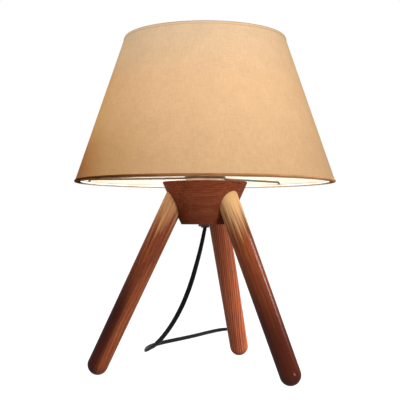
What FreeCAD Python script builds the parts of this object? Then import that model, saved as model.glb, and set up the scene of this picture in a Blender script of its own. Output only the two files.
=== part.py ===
"""Tripod table lamp: conical linen shade, turned wooden hub, three round legs, flat twin cord.

Millimetres, +Z up. The origin is on the lamp's axis, on the surface that the feet stand on.
+X is to the right and +Y is away as the lamp is seen from its front.
"""
import FreeCAD, Part
import math
import os

os.makedirs("parts", exist_ok=True)

Vector = FreeCAD.Vector
UP = Vector(0, 0, 1)
ORIGIN = Vector(0, 0, 0)
TINY = 1e-6
HALF_CORNER = math.sqrt(0.5)
HEX_SIDES = 6

# ---- shade -------------------------------------------------------------------------------
SHADE_BOTTOM_R = 164.5
SHADE_TOP_R = 102.5
SHADE_BOTTOM_Z = 239.0
SHADE_TOP_Z = 422.0
FABRIC_WALL = 0.8
LINER_WALL = 0.6
HEM_WALL = 0.5
BOTTOM_HEM_HEIGHT = 4.0
BOTTOM_HEM_LIP_R = 158.0
BOTTOM_HEM_LIP_HEIGHT = 2.8
TOP_HEM_HEIGHT = 3.0
TOP_HEM_LIP_R = 98.2
TOP_HEM_LIP_DEPTH = 3.0
RING_WIRE_R = 1.5
BOTTOM_RING_R = 159.6
BOTTOM_RING_Z = 240.9
TOP_RING_R = 100.0
TOP_RING_Z = 420.2

# ---- spider ------------------------------------------------------------------------------
SPOKE_AZIMUTHS = (48.5, 165.0, 282.5)
SPOKE_WIRE_R = 1.4
SPOKE_Z = 245.3
SPOKE_START_R = 25.5
SPOKE_END_R = 159.2
SPOKE_BEND_R = 3.6
FITTER_R = 26.5
FITTER_BORE_R = 20.4
FITTER_BOTTOM_Z = 244.3
FITTER_THICKNESS = 2.0

# ---- retaining ring ----------------------------------------------------------------------
RETAINER_R = 25.0
RETAINER_BORE_R = 20.4
RETAINER_BOTTOM_Z = 246.7
RETAINER_HEIGHT = 7.0
RETAINER_NOTCHES = 12
RETAINER_NOTCH_R = 1.6

# ---- hub ---------------------------------------------------------------------------------
HUB_TOP_R = 54.5
HUB_BOTTOM_R = 30.2
HUB_TOP_Z = 240.0
HUB_BOTTOM_Z = 186.0
HUB_EDGE_R = 0.8
POCKET_R = 18.0
POCKET_FLOOR_Z = 221.0
TUBE_R = 5.0
TUBE_BORE_R = 3.8
TUBE_BOTTOM_Z = 183.4
TUBE_TOP_Z = 226.5
NUT_ACROSS_FLATS = 14.4
NUT_HEIGHT = 2.6
GRIP_COLLAR_R = 5.2
GRIP_COLLAR_HEIGHT = 1.6
GRIP_SLEEVE_HEIGHT = 6.0

# ---- legs --------------------------------------------------------------------------------
LEG_AZIMUTHS = {"leg_back": 69.0, "leg_left": 190.0, "leg_right": 317.0}
LEG_FOOT_RADIUS = 135.0
LEG_FOOT_CENTRE_Z = 12.35
LEG_HUB_RADIUS = 39.5
LEG_HUB_Z = 215.0
LEG_END_Z = 226.0
LEG_TOP_R = 13.8
LEG_FOOT_R = 12.75
LEG_SCREW_HEAD_Z = 236.4
LEG_SCREW_LENGTH = 52.0
LEG_SCREW_R = 2.4
LEG_SCREW_HEAD_R = 4.6
LEG_SCREW_HEAD_HEIGHT = 2.6
LEG_SCREW_RECESS_R = 5.0
LEG_SCREW_DRIVE_R = 1.6
LEG_SCREW_DRIVE_DEPTH = 1.8

# ---- lampholder --------------------------------------------------------------------------
CAP_WALL = 2.0
CAP_FLOOR = 3.0
CAP_BOSS_R = 8.0
FLANGE_R = 24.5
FLANGE_TOP_Z = 244.0
SKIRT_R = 20.0
SKIRT_BORE_R = 14.9
SKIRT_TOP_Z = 275.0
INSERT_BOTTOM_Z = 231.0
PEDESTAL_R = 13.3
PEDESTAL_TOP_Z = 247.0
SHELL_R = 14.4
SHELL_BORE_R = 13.5
SHELL_BOTTOM_Z = 242.0
SHELL_TOP_Z = 270.0
CONTACT_WIDTH = 4.0
CONTACT_LENGTH = 14.0
CONTACT_STRIP = 0.6
CONTACT_RISE = 2.0
TERMINAL_OFFSET = 9.0
TERMINAL_SCREW_R = 1.5
TERMINAL_SCREW_HEAD_R = 2.8
TERMINAL_SCREW_LENGTH = 6.0
TERMINAL_SCREW_HEAD_HEIGHT = 2.0

# ---- bulb --------------------------------------------------------------------------------
BULB_CAP_R = 13.1
BULB_CAP_WALL = 0.5
BULB_CAP_BOTTOM_Z = 256.0
BULB_CAP_TOP_Z = 277.0
BULB_TIP_Z = 250.0
BULB_TIP_R = 4.8
BULB_TIP_HEIGHT = 1.5
GLASS_NECK_R = 13.6
GLASS_NECK_TOP_Z = 284.0
GLASS_R = 30.0
GLASS_CENTRE_Z = 328.0
GLASS_WALL = 0.8
STEM_FOOT_R = 11.0
STEM_WAIST_R = 3.0
STEM_WAIST_Z = 296.0
STEM_TOP_Z = 314.0
FILAMENT_COUNT = 4
FILAMENT_R = 0.9
FILAMENT_LENGTH = 34.0
FILAMENT_BASE_R = 4.6
FILAMENT_BASE_Z = 304.0

# ---- cord --------------------------------------------------------------------------------
CORD_R = 2.5
CORE_R = 1.0
CORE_SPREAD = 1.3
RUN_SHARE = 0.45
LEAD_START = Vector(0, 0, TUBE_BOTTOM_Z - GRIP_COLLAR_HEIGHT)
LEAD_ROUTE = (
    (-3.6, 3.0, 163.0),
    (-11.0, 14.0, 134.0),
    (-20.0, 31.0, 103.0),
    (-33.4, 52.0, 70.0),
    (-51.5, 82.0, 38.5),
    (-72.0, 115.0, 13.0),
    (-88.0, 146.0, 2.5),
    (-83.0, 186.0, 2.5),
    (-66.0, 223.0, 2.5),
    (-43.0, 257.0, 2.5),
    (-19.0, 294.0, 2.5),
    (6.0, 340.0, 2.5),
    (26.5, 373.0, 2.5),
    (45.0, 386.0, 2.5),
    (55.1, 406.0, 4.4),
)

# ---- unseen length: switch, hank and plug lie in one line behind the back leg --------------
LINE_START = Vector(55.4, 430.0, 0)
LINE_DIRECTION = Vector(0.012, 1.0, 0).normalize()
LINE_SIDE = Vector(LINE_DIRECTION.y, -LINE_DIRECTION.x, 0)
SWITCH_LENGTH = 58.0
SWITCH_WIDTH = 22.0
SWITCH_HEIGHT = 15.0
SWITCH_SPLIT_Z = 7.5
SWITCH_WALL = 1.6
SWITCH_END_WIDTH = 13.0
SWITCH_TAPER = 10.0
SWITCH_CORD_Z = 4.4
ROCKER_LENGTH = 20.0
ROCKER_WIDTH = 10.0
ROCKER_RIM = 4.0
ROCKER_DIP = 2.4
ROCKER_KEEL = 3.0
ROCKER_PIVOT_Z = 12.6
ROCKER_TILT = 8.0
ROCKER_GAP = 0.8
ROCKER_PIN_R = 1.2
ROCKER_PIN_LENGTH = 14.0
ROCKER_PIN_CLEARANCE = 0.08
ROCKER_PIN_HOLE_EXTRA = 1.0
BEARING_LENGTH = 1.6
BEARING_WIDTH = 4.0
BRIDGE_LENGTH = 16.0
BRIDGE_WIDTH = 4.0
BRIDGE_HEIGHT = 1.0
SWITCH_SCREW_SPAN = 36.0
SWITCH_SCREW_ASIDE = 6.6
SWITCH_SCREW_R = 1.2
SWITCH_SCREW_HEAD_R = 2.2
SWITCH_SCREW_HEAD_HEIGHT = 1.2
SWITCH_SCREW_SINK = 0.4

HANK_TURNS = 4
HANK_FOLD_R = 12.0
HANK_WAIST = 6.0
HANK_HALF_RUN = 56.0
HANK_PITCH = 6.5
HANK_BASE_Z = 4.4
HANK_CENTRE_AT = 143.0
STUB_LENGTH = 2 * CORD_R
TIE_LENGTH = 9.0
TIE_WALL = 1.1
TIE_HALF_WIDTH = 8.9
TIE_TOP_Z = 28.5
GAP_SKIP = 4.0

TAIL_ROUTE = ((38.0, -12.0, 23.9), (16.0, 0.0, 33.1), (0.0, 0.0, 33.1))
PLUG_AXIS_Z = 33.1
PLUG_TAPER_LENGTH = 22.0
PLUG_TAPER_R = 5.4
PLUG_TAPER_END_R = 3.4
PLUG_BODY_LENGTH = 28.0
PLUG_BODY_WIDTH = 24.0
PLUG_BODY_HEIGHT = 12.0
PLUG_EDGE_R = 3.0
BLADE_LENGTH = 16.0
BLADE_WIDTH = 6.3
BLADE_THICKNESS = 1.5
BLADE_SPACING = 12.7
BLADE_ROOT = 6.0


def export(name, shape):
    """Write one named sub-part and print its volume."""
    shape.exportStep("parts/" + name + ".step")
    print(f"{name}: {len(shape.Solids)} solid(s), {shape.Volume:.0f} mm3, valid {shape.isValid()}")


def cylinder(radius, bottom, top, axis=ORIGIN):
    """Upright cylinder between two heights."""
    return Part.makeCylinder(radius, top - bottom, Vector(axis.x, axis.y, bottom), UP)


def turned(points):
    """Solid of revolution about the lamp's axis from (radius, height) corners."""
    corners = [Vector(radius, 0, height) for radius, height in points]
    wire = Part.makePolygon(corners + corners[:1])
    return Part.Face(wire).revolve(ORIGIN, UP, 360)


def turned_wire(edges):
    """Solid of revolution about the lamp's axis from a closed chain of edges."""
    wire = Part.Wire(Part.__sortEdges__(edges))
    return Part.Face(wire).revolve(ORIGIN, UP, 360)


def line(start, end):
    """Straight edge."""
    return Part.LineSegment(start, end).toShape()


def arc(start, middle, end):
    """Circular edge through three points."""
    return Part.Arc(start, middle, end).toShape()


def at_azimuth(azimuth, radius, height):
    """Point at an angle about the lamp's axis, counted from +X."""
    angle = math.radians(azimuth)
    return Vector(radius * math.cos(angle), radius * math.sin(angle), height)


# ---- shade -------------------------------------------------------------------------------
def shade_radius(height):
    """Outer radius of the linen at a height."""
    share = (height - SHADE_BOTTOM_Z) / (SHADE_TOP_Z - SHADE_BOTTOM_Z)
    return SHADE_BOTTOM_R + share * (SHADE_TOP_R - SHADE_BOTTOM_R)


def shade_layer(outside, inside):
    """Conical sheet between two depths inside the linen's outer face."""
    return turned([
        (SHADE_BOTTOM_R - outside, SHADE_BOTTOM_Z),
        (SHADE_TOP_R - outside, SHADE_TOP_Z),
        (SHADE_TOP_R - inside, SHADE_TOP_Z),
        (SHADE_BOTTOM_R - inside, SHADE_BOTTOM_Z),
    ])


def bottom_hem():
    """Rolled tape round the lower edge and the wire ring."""
    top = SHADE_BOTTOM_Z + BOTTOM_HEM_HEIGHT
    under = SHADE_BOTTOM_Z - HEM_WALL
    lip_top = SHADE_BOTTOM_Z + BOTTOM_HEM_LIP_HEIGHT
    return turned([
        (SHADE_BOTTOM_R + HEM_WALL, under),
        (shade_radius(top) + HEM_WALL, top),
        (shade_radius(top), top),
        (SHADE_BOTTOM_R, SHADE_BOTTOM_Z),
        (BOTTOM_HEM_LIP_R, SHADE_BOTTOM_Z),
        (BOTTOM_HEM_LIP_R, lip_top),
        (BOTTOM_HEM_LIP_R - HEM_WALL, lip_top),
        (BOTTOM_HEM_LIP_R - HEM_WALL, under),
    ])


def top_hem():
    """Tape folded over the upper edge and the wire ring."""
    low = SHADE_TOP_Z - TOP_HEM_HEIGHT
    over = SHADE_TOP_Z + HEM_WALL
    lip_low = SHADE_TOP_Z - TOP_HEM_LIP_DEPTH
    return turned([
        (shade_radius(low), low),
        (shade_radius(low) + HEM_WALL, low),
        (SHADE_TOP_R + HEM_WALL, over),
        (TOP_HEM_LIP_R - HEM_WALL, over),
        (TOP_HEM_LIP_R - HEM_WALL, lip_low),
        (TOP_HEM_LIP_R, lip_low),
        (TOP_HEM_LIP_R, SHADE_TOP_Z),
        (SHADE_TOP_R, SHADE_TOP_Z),
    ])


def wire_ring(radius, height):
    """Round wire hoop."""
    return Part.makeTorus(radius, RING_WIRE_R, Vector(0, 0, height), UP)


def fitter_ring():
    """Flat washer that drops over the lampholder's skirt."""
    top = FITTER_BOTTOM_Z + FITTER_THICKNESS
    return cylinder(FITTER_R, FITTER_BOTTOM_Z, top).cut(cylinder(FITTER_BORE_R, FITTER_BOTTOM_Z, top))


def spoke(azimuth, fitter, hoop):
    """Wire from the fitter out to the hoop, bent down at its end and welded at both."""
    start = at_azimuth(azimuth, SPOKE_START_R, SPOKE_Z)
    bend_start = at_azimuth(azimuth, SPOKE_END_R - SPOKE_BEND_R, SPOKE_Z)
    bend_middle = at_azimuth(
        azimuth,
        SPOKE_END_R - SPOKE_BEND_R * (1 - HALF_CORNER),
        SPOKE_Z - SPOKE_BEND_R * (1 - HALF_CORNER),
    )
    bend_end = at_azimuth(azimuth, SPOKE_END_R, SPOKE_Z - SPOKE_BEND_R)
    path = Part.Wire([line(start, bend_start), arc(bend_start, bend_middle, bend_end)])
    return tube_along(path, SPOKE_WIRE_R).cut(fitter).cut(hoop)


def retaining_ring():
    """Threaded ring, drawn plain inside, with finger notches round its rim."""
    top = RETAINER_BOTTOM_Z + RETAINER_HEIGHT
    ring = cylinder(RETAINER_R, RETAINER_BOTTOM_Z, top)
    ring = ring.cut(cylinder(RETAINER_BORE_R, RETAINER_BOTTOM_Z, top))
    for index in range(RETAINER_NOTCHES):
        centre = at_azimuth(index * 360 / RETAINER_NOTCHES, RETAINER_R + RETAINER_NOTCH_R / 2, 0)
        ring = ring.cut(cylinder(RETAINER_NOTCH_R, RETAINER_BOTTOM_Z, top, centre))
    return ring


# ---- tubes along routes ------------------------------------------------------------------
def tube_along(path, radius):
    """Round tube along a tangent-continuous wire."""
    start = path.Edges[0]
    tangent = start.tangentAt(start.FirstParameter)
    ring = Part.Wire(Part.Circle(start.valueAt(start.FirstParameter), tangent, radius).toShape())
    return path.makePipeShell([ring], True, False)


def rounded_path(points, name):
    """Straight runs joined by tangent arcs as large as their runs allow."""
    edges = []
    radii = []
    last = points[0]
    for before, corner, after in zip(points, points[1:], points[2:]):
        back = (before - corner).normalize()
        ahead = (after - corner).normalize()
        shorter = min((before - corner).Length, (after - corner).Length)
        half_turn = (math.pi - back.getAngle(ahead)) / 2
        setback = RUN_SHARE * shorter
        radius = setback / math.tan(half_turn)
        middle_way = (back + ahead).normalize()
        depth = radius / math.cos(half_turn) - radius
        edges.append(line(last, corner + back * setback))
        edges.append(arc(corner + back * setback, corner + middle_way * depth, corner + ahead * setback))
        last = corner + ahead * setback
        radii.append(round(radius, 1))
    edges.append(line(last, points[-1]))
    print(f"{name}: bend radii {radii}")
    return Part.Wire(edges)


def cord_tube(points, name):
    """Plain round tube along a rounded route, with its volume checked."""
    path = rounded_path(points, name)
    tube = tube_along(path, CORD_R)
    expected = math.pi * CORD_R ** 2 * path.Length
    print(f"{name}: length {path.Length:.1f}, volume over section times length {tube.Volume / expected:.4f}")
    return tube, path.Length


# ---- hub, tube and legs ------------------------------------------------------------------
def leg_line(azimuth):
    """Centre of the foot, and the unit vector up the leg's axis."""
    foot = at_azimuth(azimuth, LEG_FOOT_RADIUS, LEG_FOOT_CENTRE_Z)
    top = at_azimuth(azimuth, LEG_HUB_RADIUS, LEG_HUB_Z)
    return foot, (top - foot).normalize()


def along_leg(azimuth, height):
    """Point on the leg's axis at a height."""
    foot, direction = leg_line(azimuth)
    return foot + direction * ((height - foot.z) / direction.z)


def leg_blank(azimuth):
    """Tapered round leg with a domed foot, as it enters its socket."""
    foot, direction = leg_line(azimuth)
    length = (along_leg(azimuth, LEG_END_Z) - foot).Length
    outline = [
        line(Vector(0, 0, -LEG_FOOT_R), Vector(0, 0, length)),
        line(Vector(0, 0, length), Vector(LEG_TOP_R, 0, length)),
        line(Vector(LEG_TOP_R, 0, length), Vector(LEG_FOOT_R, 0, 0)),
        arc(
            Vector(LEG_FOOT_R, 0, 0),
            Vector(LEG_FOOT_R * HALF_CORNER, 0, -LEG_FOOT_R * HALF_CORNER),
            Vector(0, 0, -LEG_FOOT_R),
        ),
    ]
    leg = turned_wire(outline)
    leg.Placement = FreeCAD.Placement(foot, FreeCAD.Rotation(UP, direction))
    return leg


def down_leg(azimuth, shape):
    """Shape drawn downwards from its head, moved to the screw's place in a leg."""
    _, direction = leg_line(azimuth)
    head = along_leg(azimuth, LEG_SCREW_HEAD_Z)
    shape.Placement = FreeCAD.Placement(head, FreeCAD.Rotation(UP, direction * -1))
    return shape


def leg_screw_blank(azimuth):
    """Countersunk screw down the leg's axis from the top of the hub, without its drive."""
    return down_leg(azimuth, turned([
        (0, 0),
        (LEG_SCREW_HEAD_R, 0),
        (LEG_SCREW_R, LEG_SCREW_HEAD_HEIGHT),
        (LEG_SCREW_R, LEG_SCREW_LENGTH - 2 * LEG_SCREW_R),
        (0, LEG_SCREW_LENGTH),
    ]))


def leg_screw(azimuth):
    """Leg screw with a round drive sunk in its head."""
    drive = cylinder(LEG_SCREW_DRIVE_R, 0, LEG_SCREW_DRIVE_DEPTH)
    return leg_screw_blank(azimuth).cut(down_leg(azimuth, drive))


def leg_screw_recess(azimuth):
    """Counterbore above a leg screw's head."""
    _, direction = leg_line(azimuth)
    head = along_leg(azimuth, LEG_SCREW_HEAD_Z)
    return Part.makeCylinder(LEG_SCREW_RECESS_R, LEG_FOOT_R, head, direction)


def floor_block():
    """Everything below the surface that the feet stand on."""
    side = 4 * LEG_FOOT_RADIUS
    return Part.makeBox(side, side, LEG_FOOT_R, Vector(-side / 2, -side / 2, -LEG_FOOT_R))


def hub(leg_blanks, screw_blanks):
    """Cone on its small end, with a pocket, a bore, three sockets and three screw holes."""
    body = Part.makeCone(
        HUB_BOTTOM_R, HUB_TOP_R, HUB_TOP_Z - HUB_BOTTOM_Z, Vector(0, 0, HUB_BOTTOM_Z), UP
    )
    rims = [edge for edge in body.Edges if isinstance(edge.Curve, Part.Circle)]
    body = body.makeFillet(HUB_EDGE_R, rims)
    body = body.cut(cylinder(POCKET_R, POCKET_FLOOR_Z, HUB_TOP_Z))
    body = body.cut(cylinder(TUBE_R, HUB_BOTTOM_Z, POCKET_FLOOR_Z))
    for azimuth, leg, screw in zip(LEG_AZIMUTHS.values(), leg_blanks, screw_blanks):
        body = body.cut(leg).cut(screw).cut(leg_screw_recess(azimuth))
    return body


def threaded_tube():
    """Hollow tube that ties the hub to the lampholder; its thread is left plain."""
    return cylinder(TUBE_R, TUBE_BOTTOM_Z, TUBE_TOP_Z).cut(
        cylinder(TUBE_BORE_R, TUBE_BOTTOM_Z, TUBE_TOP_Z)
    )


def lock_nut():
    """Thin hexagonal nut under the hub."""
    corner_r = NUT_ACROSS_FLATS / math.sqrt(3)
    corners = [
        at_azimuth(360 * index / HEX_SIDES, corner_r, HUB_BOTTOM_Z - NUT_HEIGHT)
        for index in range(HEX_SIDES)
    ]
    blank = Part.Face(Part.makePolygon(corners + corners[:1])).extrude(UP * NUT_HEIGHT)
    return blank.cut(cylinder(TUBE_R, HUB_BOTTOM_Z - NUT_HEIGHT, HUB_BOTTOM_Z))


def cord_grip():
    """Bush that holds the cord in the tube's lower end."""
    collar_bottom = TUBE_BOTTOM_Z - GRIP_COLLAR_HEIGHT
    sleeve_top = TUBE_BOTTOM_Z + GRIP_SLEEVE_HEIGHT
    bush = cylinder(GRIP_COLLAR_R, collar_bottom, TUBE_BOTTOM_Z)
    bush = bush.fuse(cylinder(TUBE_BORE_R, TUBE_BOTTOM_Z, sleeve_top)).removeSplitter()
    return bush.cut(cylinder(CORD_R, collar_bottom, sleeve_top))


# ---- lampholder --------------------------------------------------------------------------
def lampholder_cap():
    """Cup in the hub's pocket with the flange that carries the fitter."""
    floor_top = POCKET_FLOOR_Z + CAP_FLOOR
    return turned([
        (TUBE_R, POCKET_FLOOR_Z),
        (POCKET_R, POCKET_FLOOR_Z),
        (POCKET_R, HUB_TOP_Z),
        (FLANGE_R, HUB_TOP_Z),
        (FLANGE_R, FLANGE_TOP_Z),
        (POCKET_R - CAP_WALL, FLANGE_TOP_Z),
        (POCKET_R - CAP_WALL, floor_top),
        (CAP_BOSS_R, floor_top),
        (CAP_BOSS_R, TUBE_TOP_Z),
        (TUBE_R, TUBE_TOP_Z),
    ])


def lampholder_skirt():
    """Tube that carries the shade ring's thread, drawn plain."""
    spigot_r = POCKET_R - CAP_WALL
    return turned([
        (SKIRT_BORE_R, HUB_TOP_Z),
        (spigot_r, HUB_TOP_Z),
        (spigot_r, FLANGE_TOP_Z),
        (SKIRT_R, FLANGE_TOP_Z),
        (SKIRT_R, SKIRT_TOP_Z),
        (SKIRT_BORE_R, SKIRT_TOP_Z),
    ])


def lampholder_insert(terminals):
    """Terminal block with a pedestal inside the screw shell."""
    block = turned([
        (0, INSERT_BOTTOM_Z),
        (POCKET_R - CAP_WALL, INSERT_BOTTOM_Z),
        (POCKET_R - CAP_WALL, HUB_TOP_Z),
        (PEDESTAL_R, HUB_TOP_Z),
        (PEDESTAL_R, PEDESTAL_TOP_Z),
        (0, PEDESTAL_TOP_Z),
    ])
    return block.cut(terminals)


def screw_shell():
    """Metal sleeve that takes the bulb's cap; its rolled thread is left plain."""
    sleeve = cylinder(SHELL_R, SHELL_BOTTOM_Z, SHELL_TOP_Z)
    return sleeve.cut(cylinder(SHELL_BORE_R, SHELL_BOTTOM_Z, SHELL_TOP_Z))


def centre_contact():
    """Springy strip with a raised middle under the bulb's tip."""
    half = CONTACT_LENGTH / 2
    quarter = CONTACT_LENGTH / 4
    base = PEDESTAL_TOP_Z
    rise = base + CONTACT_RISE
    lower = [(-half, base), (-quarter, base), (0, rise), (quarter, base), (half, base)]
    upper = [(x, z + CONTACT_STRIP) for x, z in reversed(lower)]
    corners = [Vector(x, -CONTACT_WIDTH / 2, z) for x, z in lower + upper]
    outline = Part.Face(Part.makePolygon(corners + corners[:1]))
    return outline.extrude(Vector(0, CONTACT_WIDTH, 0))


def terminal_screws():
    """Two small screws up into the terminal block from below."""
    screws = []
    for side in (-1, 1):
        axis = Vector(0, side * TERMINAL_OFFSET, 0)
        head_bottom = INSERT_BOTTOM_Z - TERMINAL_SCREW_HEAD_HEIGHT
        head = cylinder(TERMINAL_SCREW_HEAD_R, head_bottom, INSERT_BOTTOM_Z, axis)
        shank_top = INSERT_BOTTOM_Z + TERMINAL_SCREW_LENGTH
        shank = cylinder(TERMINAL_SCREW_R, INSERT_BOTTOM_Z, shank_top, axis)
        screws.append(head.fuse(shank).removeSplitter())
    return Part.makeCompound(screws)


def core(side):
    """Insulated core from the cord's end across to its terminal screw."""
    bend_z = INSERT_BOTTOM_Z - 2 * CORE_R
    points = [
        Vector(0, side * CORE_SPREAD, TUBE_TOP_Z),
        Vector(0, side * (CORE_SPREAD + CORE_R / 2), bend_z),
        Vector(0, side * (TERMINAL_OFFSET - TERMINAL_SCREW_HEAD_R), INSERT_BOTTOM_Z - CORE_R),
    ]
    return tube_along(rounded_path(points, "core"), CORE_R)


# ---- bulb --------------------------------------------------------------------------------
def glass_outline(inset):
    """Edges of the globe's outline at a depth inside its outer face, from neck to crown."""
    globe_r = GLASS_R - inset
    neck_r = GLASS_NECK_R - inset
    drop = GLASS_CENTRE_Z - GLASS_NECK_TOP_Z
    hollow_r = (GLASS_NECK_R ** 2 + drop ** 2 - GLASS_R ** 2) / (2 * (GLASS_R - GLASS_NECK_R)) + inset
    centre = Vector(neck_r + hollow_r, 0, GLASS_NECK_TOP_Z)
    globe_centre = Vector(0, 0, GLASS_CENTRE_Z)
    join = globe_centre + (centre - globe_centre).normalize() * globe_r
    start = Vector(neck_r, 0, GLASS_NECK_TOP_Z)
    middle = centre + ((start + join) / 2 - centre).normalize() * hollow_r
    crown = Vector(0, 0, GLASS_CENTRE_Z + globe_r)
    side = (join + crown) / 2 - globe_centre
    side_point = globe_centre + Vector(abs(side.x), 0, side.z).normalize() * globe_r
    foot = Vector(neck_r, 0, BULB_CAP_TOP_Z)
    return foot, crown, [line(foot, start), arc(start, middle, join), arc(join, side_point, crown)]


def bulb_glass():
    """Thin globe on a neck, open at the cap."""
    outer_foot, outer_crown, outer = glass_outline(0)
    inner_foot, inner_crown, inner = glass_outline(GLASS_WALL)
    closing = [line(outer_foot, inner_foot), line(inner_crown, outer_crown)]
    return turned_wire(outer + inner + closing)


def bulb_cap():
    """Screw cap round the neck's foot; its rolled thread is left plain."""
    inner = BULB_CAP_R - BULB_CAP_WALL
    return turned([
        (inner, BULB_CAP_BOTTOM_Z),
        (BULB_CAP_R, BULB_CAP_BOTTOM_Z),
        (BULB_CAP_R, BULB_CAP_TOP_Z),
        (inner, BULB_CAP_TOP_Z),
    ])


def bulb_insulator():
    """Glass cone between the cap and the tip contact."""
    tip_top = BULB_TIP_Z + BULB_TIP_HEIGHT
    return turned([
        (0, tip_top),
        (BULB_TIP_R, tip_top),
        (BULB_CAP_R, BULB_CAP_BOTTOM_Z),
        (0, BULB_CAP_BOTTOM_Z),
    ])


def bulb_stem():
    """Flared glass mount inside the neck."""
    flare_top = BULB_CAP_TOP_Z + GLASS_WALL
    return turned([
        (0, BULB_CAP_TOP_Z),
        (STEM_FOOT_R, BULB_CAP_TOP_Z),
        (STEM_FOOT_R, flare_top),
        (STEM_WAIST_R, STEM_WAIST_Z),
        (STEM_WAIST_R / 2, STEM_TOP_Z),
        (0, STEM_TOP_Z),
    ])


def bulb_filaments():
    """Straight light sticks leaning out round the stem."""
    sticks = []
    for index in range(FILAMENT_COUNT):
        azimuth = (index + 0.5) * 360 / FILAMENT_COUNT
        base = at_azimuth(azimuth, FILAMENT_BASE_R, FILAMENT_BASE_Z)
        lean = at_azimuth(azimuth, FILAMENT_BASE_R, FILAMENT_LENGTH).normalize()
        sticks.append(Part.makeCylinder(FILAMENT_R, FILAMENT_LENGTH, base, lean))
    return Part.makeCompound(sticks)


# ---- things behind the back leg ----------------------------------------------------------
def on_line(along, aside, height):
    """Point from distances along and to the right of the line behind the back leg."""
    return LINE_START + LINE_DIRECTION * along + LINE_SIDE * aside + UP * height


def placed(shape, along):
    """Shape drawn with +X along the line and +Y to its left, moved onto the line."""
    turn = FreeCAD.Rotation(Vector(1, 0, 0), LINE_DIRECTION)
    shape.Placement = FreeCAD.Placement(on_line(along, 0, 0), turn).multiply(shape.Placement)
    return shape


def centred_box(length, width, bottom, top, middle=0.0):
    """Block centred on the line, between two heights."""
    corner = Vector(middle - length / 2, -width / 2, bottom)
    return Part.makeBox(length, width, top - bottom, corner)


def switch_block(inset, bottom, top):
    """Prism of the switch's outline, drawn in by an inset, between two heights."""
    end = SWITCH_LENGTH / 2 - inset
    shoulder = end - SWITCH_TAPER
    wide = SWITCH_WIDTH / 2 - inset
    narrow = SWITCH_END_WIDTH / 2 - inset
    quarter = [(end, narrow), (shoulder, wide)]
    outline = quarter + [(-x, y) for x, y in reversed(quarter)]
    outline += [(-x, -y) for x, y in quarter] + [(x, -y) for x, y in reversed(quarter)]
    corners = [Vector(x, y, bottom) for x, y in outline]
    return Part.Face(Part.makePolygon(corners + corners[:1])).extrude(UP * (top - bottom))


def switch_channel():
    """Round way for the cord through both ends of the case."""
    start = Vector(-SWITCH_LENGTH / 2, 0, SWITCH_CORD_Z)
    return Part.makeCylinder(CORD_R, SWITCH_LENGTH, start, Vector(1, 0, 0))


def switch_screws():
    """Two case screws, put in from below."""
    screws = []
    for side in (-1, 1):
        axis = Vector(side * SWITCH_SCREW_SPAN / 2, side * SWITCH_SCREW_ASIDE, 0)
        head_top = SWITCH_SCREW_SINK + SWITCH_SCREW_HEAD_HEIGHT
        head = cylinder(SWITCH_SCREW_HEAD_R, SWITCH_SCREW_SINK, head_top, axis)
        shank = cylinder(SWITCH_SCREW_R, head_top, SWITCH_HEIGHT - SWITCH_WALL, axis)
        screws.append(head.fuse(shank).removeSplitter())
    return Part.makeCompound(screws)


def switch_screw_posts(bottom, top):
    """Solid posts inside the case round the screws."""
    posts = []
    for side in (-1, 1):
        axis = Vector(side * SWITCH_SCREW_SPAN / 2, side * SWITCH_SCREW_ASIDE, 0)
        posts.append(cylinder(SWITCH_SCREW_HEAD_R + SWITCH_SCREW_SINK, bottom, top, axis))
    return posts


def switch_screw_holes():
    """Space that the screws and their sunk heads take."""
    holes = [switch_screws()]
    for side in (-1, 1):
        axis = Vector(side * SWITCH_SCREW_SPAN / 2, side * SWITCH_SCREW_ASIDE, 0)
        holes.append(cylinder(SWITCH_SCREW_HEAD_R, 0, SWITCH_SCREW_SINK, axis))
    return holes


def switch_bottom_case():
    """Lower half of the case."""
    half = switch_block(0, 0, SWITCH_SPLIT_Z)
    cavity = switch_block(SWITCH_WALL, SWITCH_WALL, SWITCH_SPLIT_Z)
    for post in switch_screw_posts(SWITCH_WALL, SWITCH_SPLIT_Z):
        cavity = cavity.cut(post)
    half = half.cut(cavity).cut(switch_channel())
    for hole in switch_screw_holes():
        half = half.cut(hole)
    return half


def switch_top_case():
    """Upper half of the case, with the rocker's window and its two bearings."""
    half = switch_block(0, SWITCH_SPLIT_Z, SWITCH_HEIGHT)
    cavity = switch_block(SWITCH_WALL, SWITCH_SPLIT_Z, SWITCH_HEIGHT - SWITCH_WALL)
    for post in switch_screw_posts(SWITCH_SPLIT_Z, SWITCH_HEIGHT - SWITCH_WALL):
        cavity = cavity.cut(post)
    window = centred_box(
        ROCKER_LENGTH + 2 * ROCKER_GAP, ROCKER_WIDTH + 2 * ROCKER_GAP, SWITCH_SPLIT_Z, SWITCH_HEIGHT
    )
    half = half.cut(cavity).cut(window)
    for side in (-1, 1):
        middle = side * (ROCKER_WIDTH / 2 + ROCKER_GAP + BEARING_LENGTH / 2)
        bearing = Part.makeBox(
            BEARING_WIDTH, BEARING_LENGTH, SWITCH_HEIGHT - SWITCH_SPLIT_Z,
            Vector(-BEARING_WIDTH / 2, middle - BEARING_LENGTH / 2, SWITCH_SPLIT_Z),
        )
        half = half.fuse(bearing)
    half = half.removeSplitter().cut(rocker_pin(ROCKER_PIN_R + ROCKER_PIN_CLEARANCE, ROCKER_PIN_HOLE_EXTRA))
    for hole in switch_screw_holes():
        half = half.cut(hole)
    return half


def rocker_pin(radius, extra):
    """Cylinder across the case at the rocker's pivot, longer than the pin by an extra."""
    length = ROCKER_PIN_LENGTH + extra
    start = Vector(0, -length / 2, ROCKER_PIVOT_Z)
    return Part.makeCylinder(radius, length, start, Vector(0, 1, 0))


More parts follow.
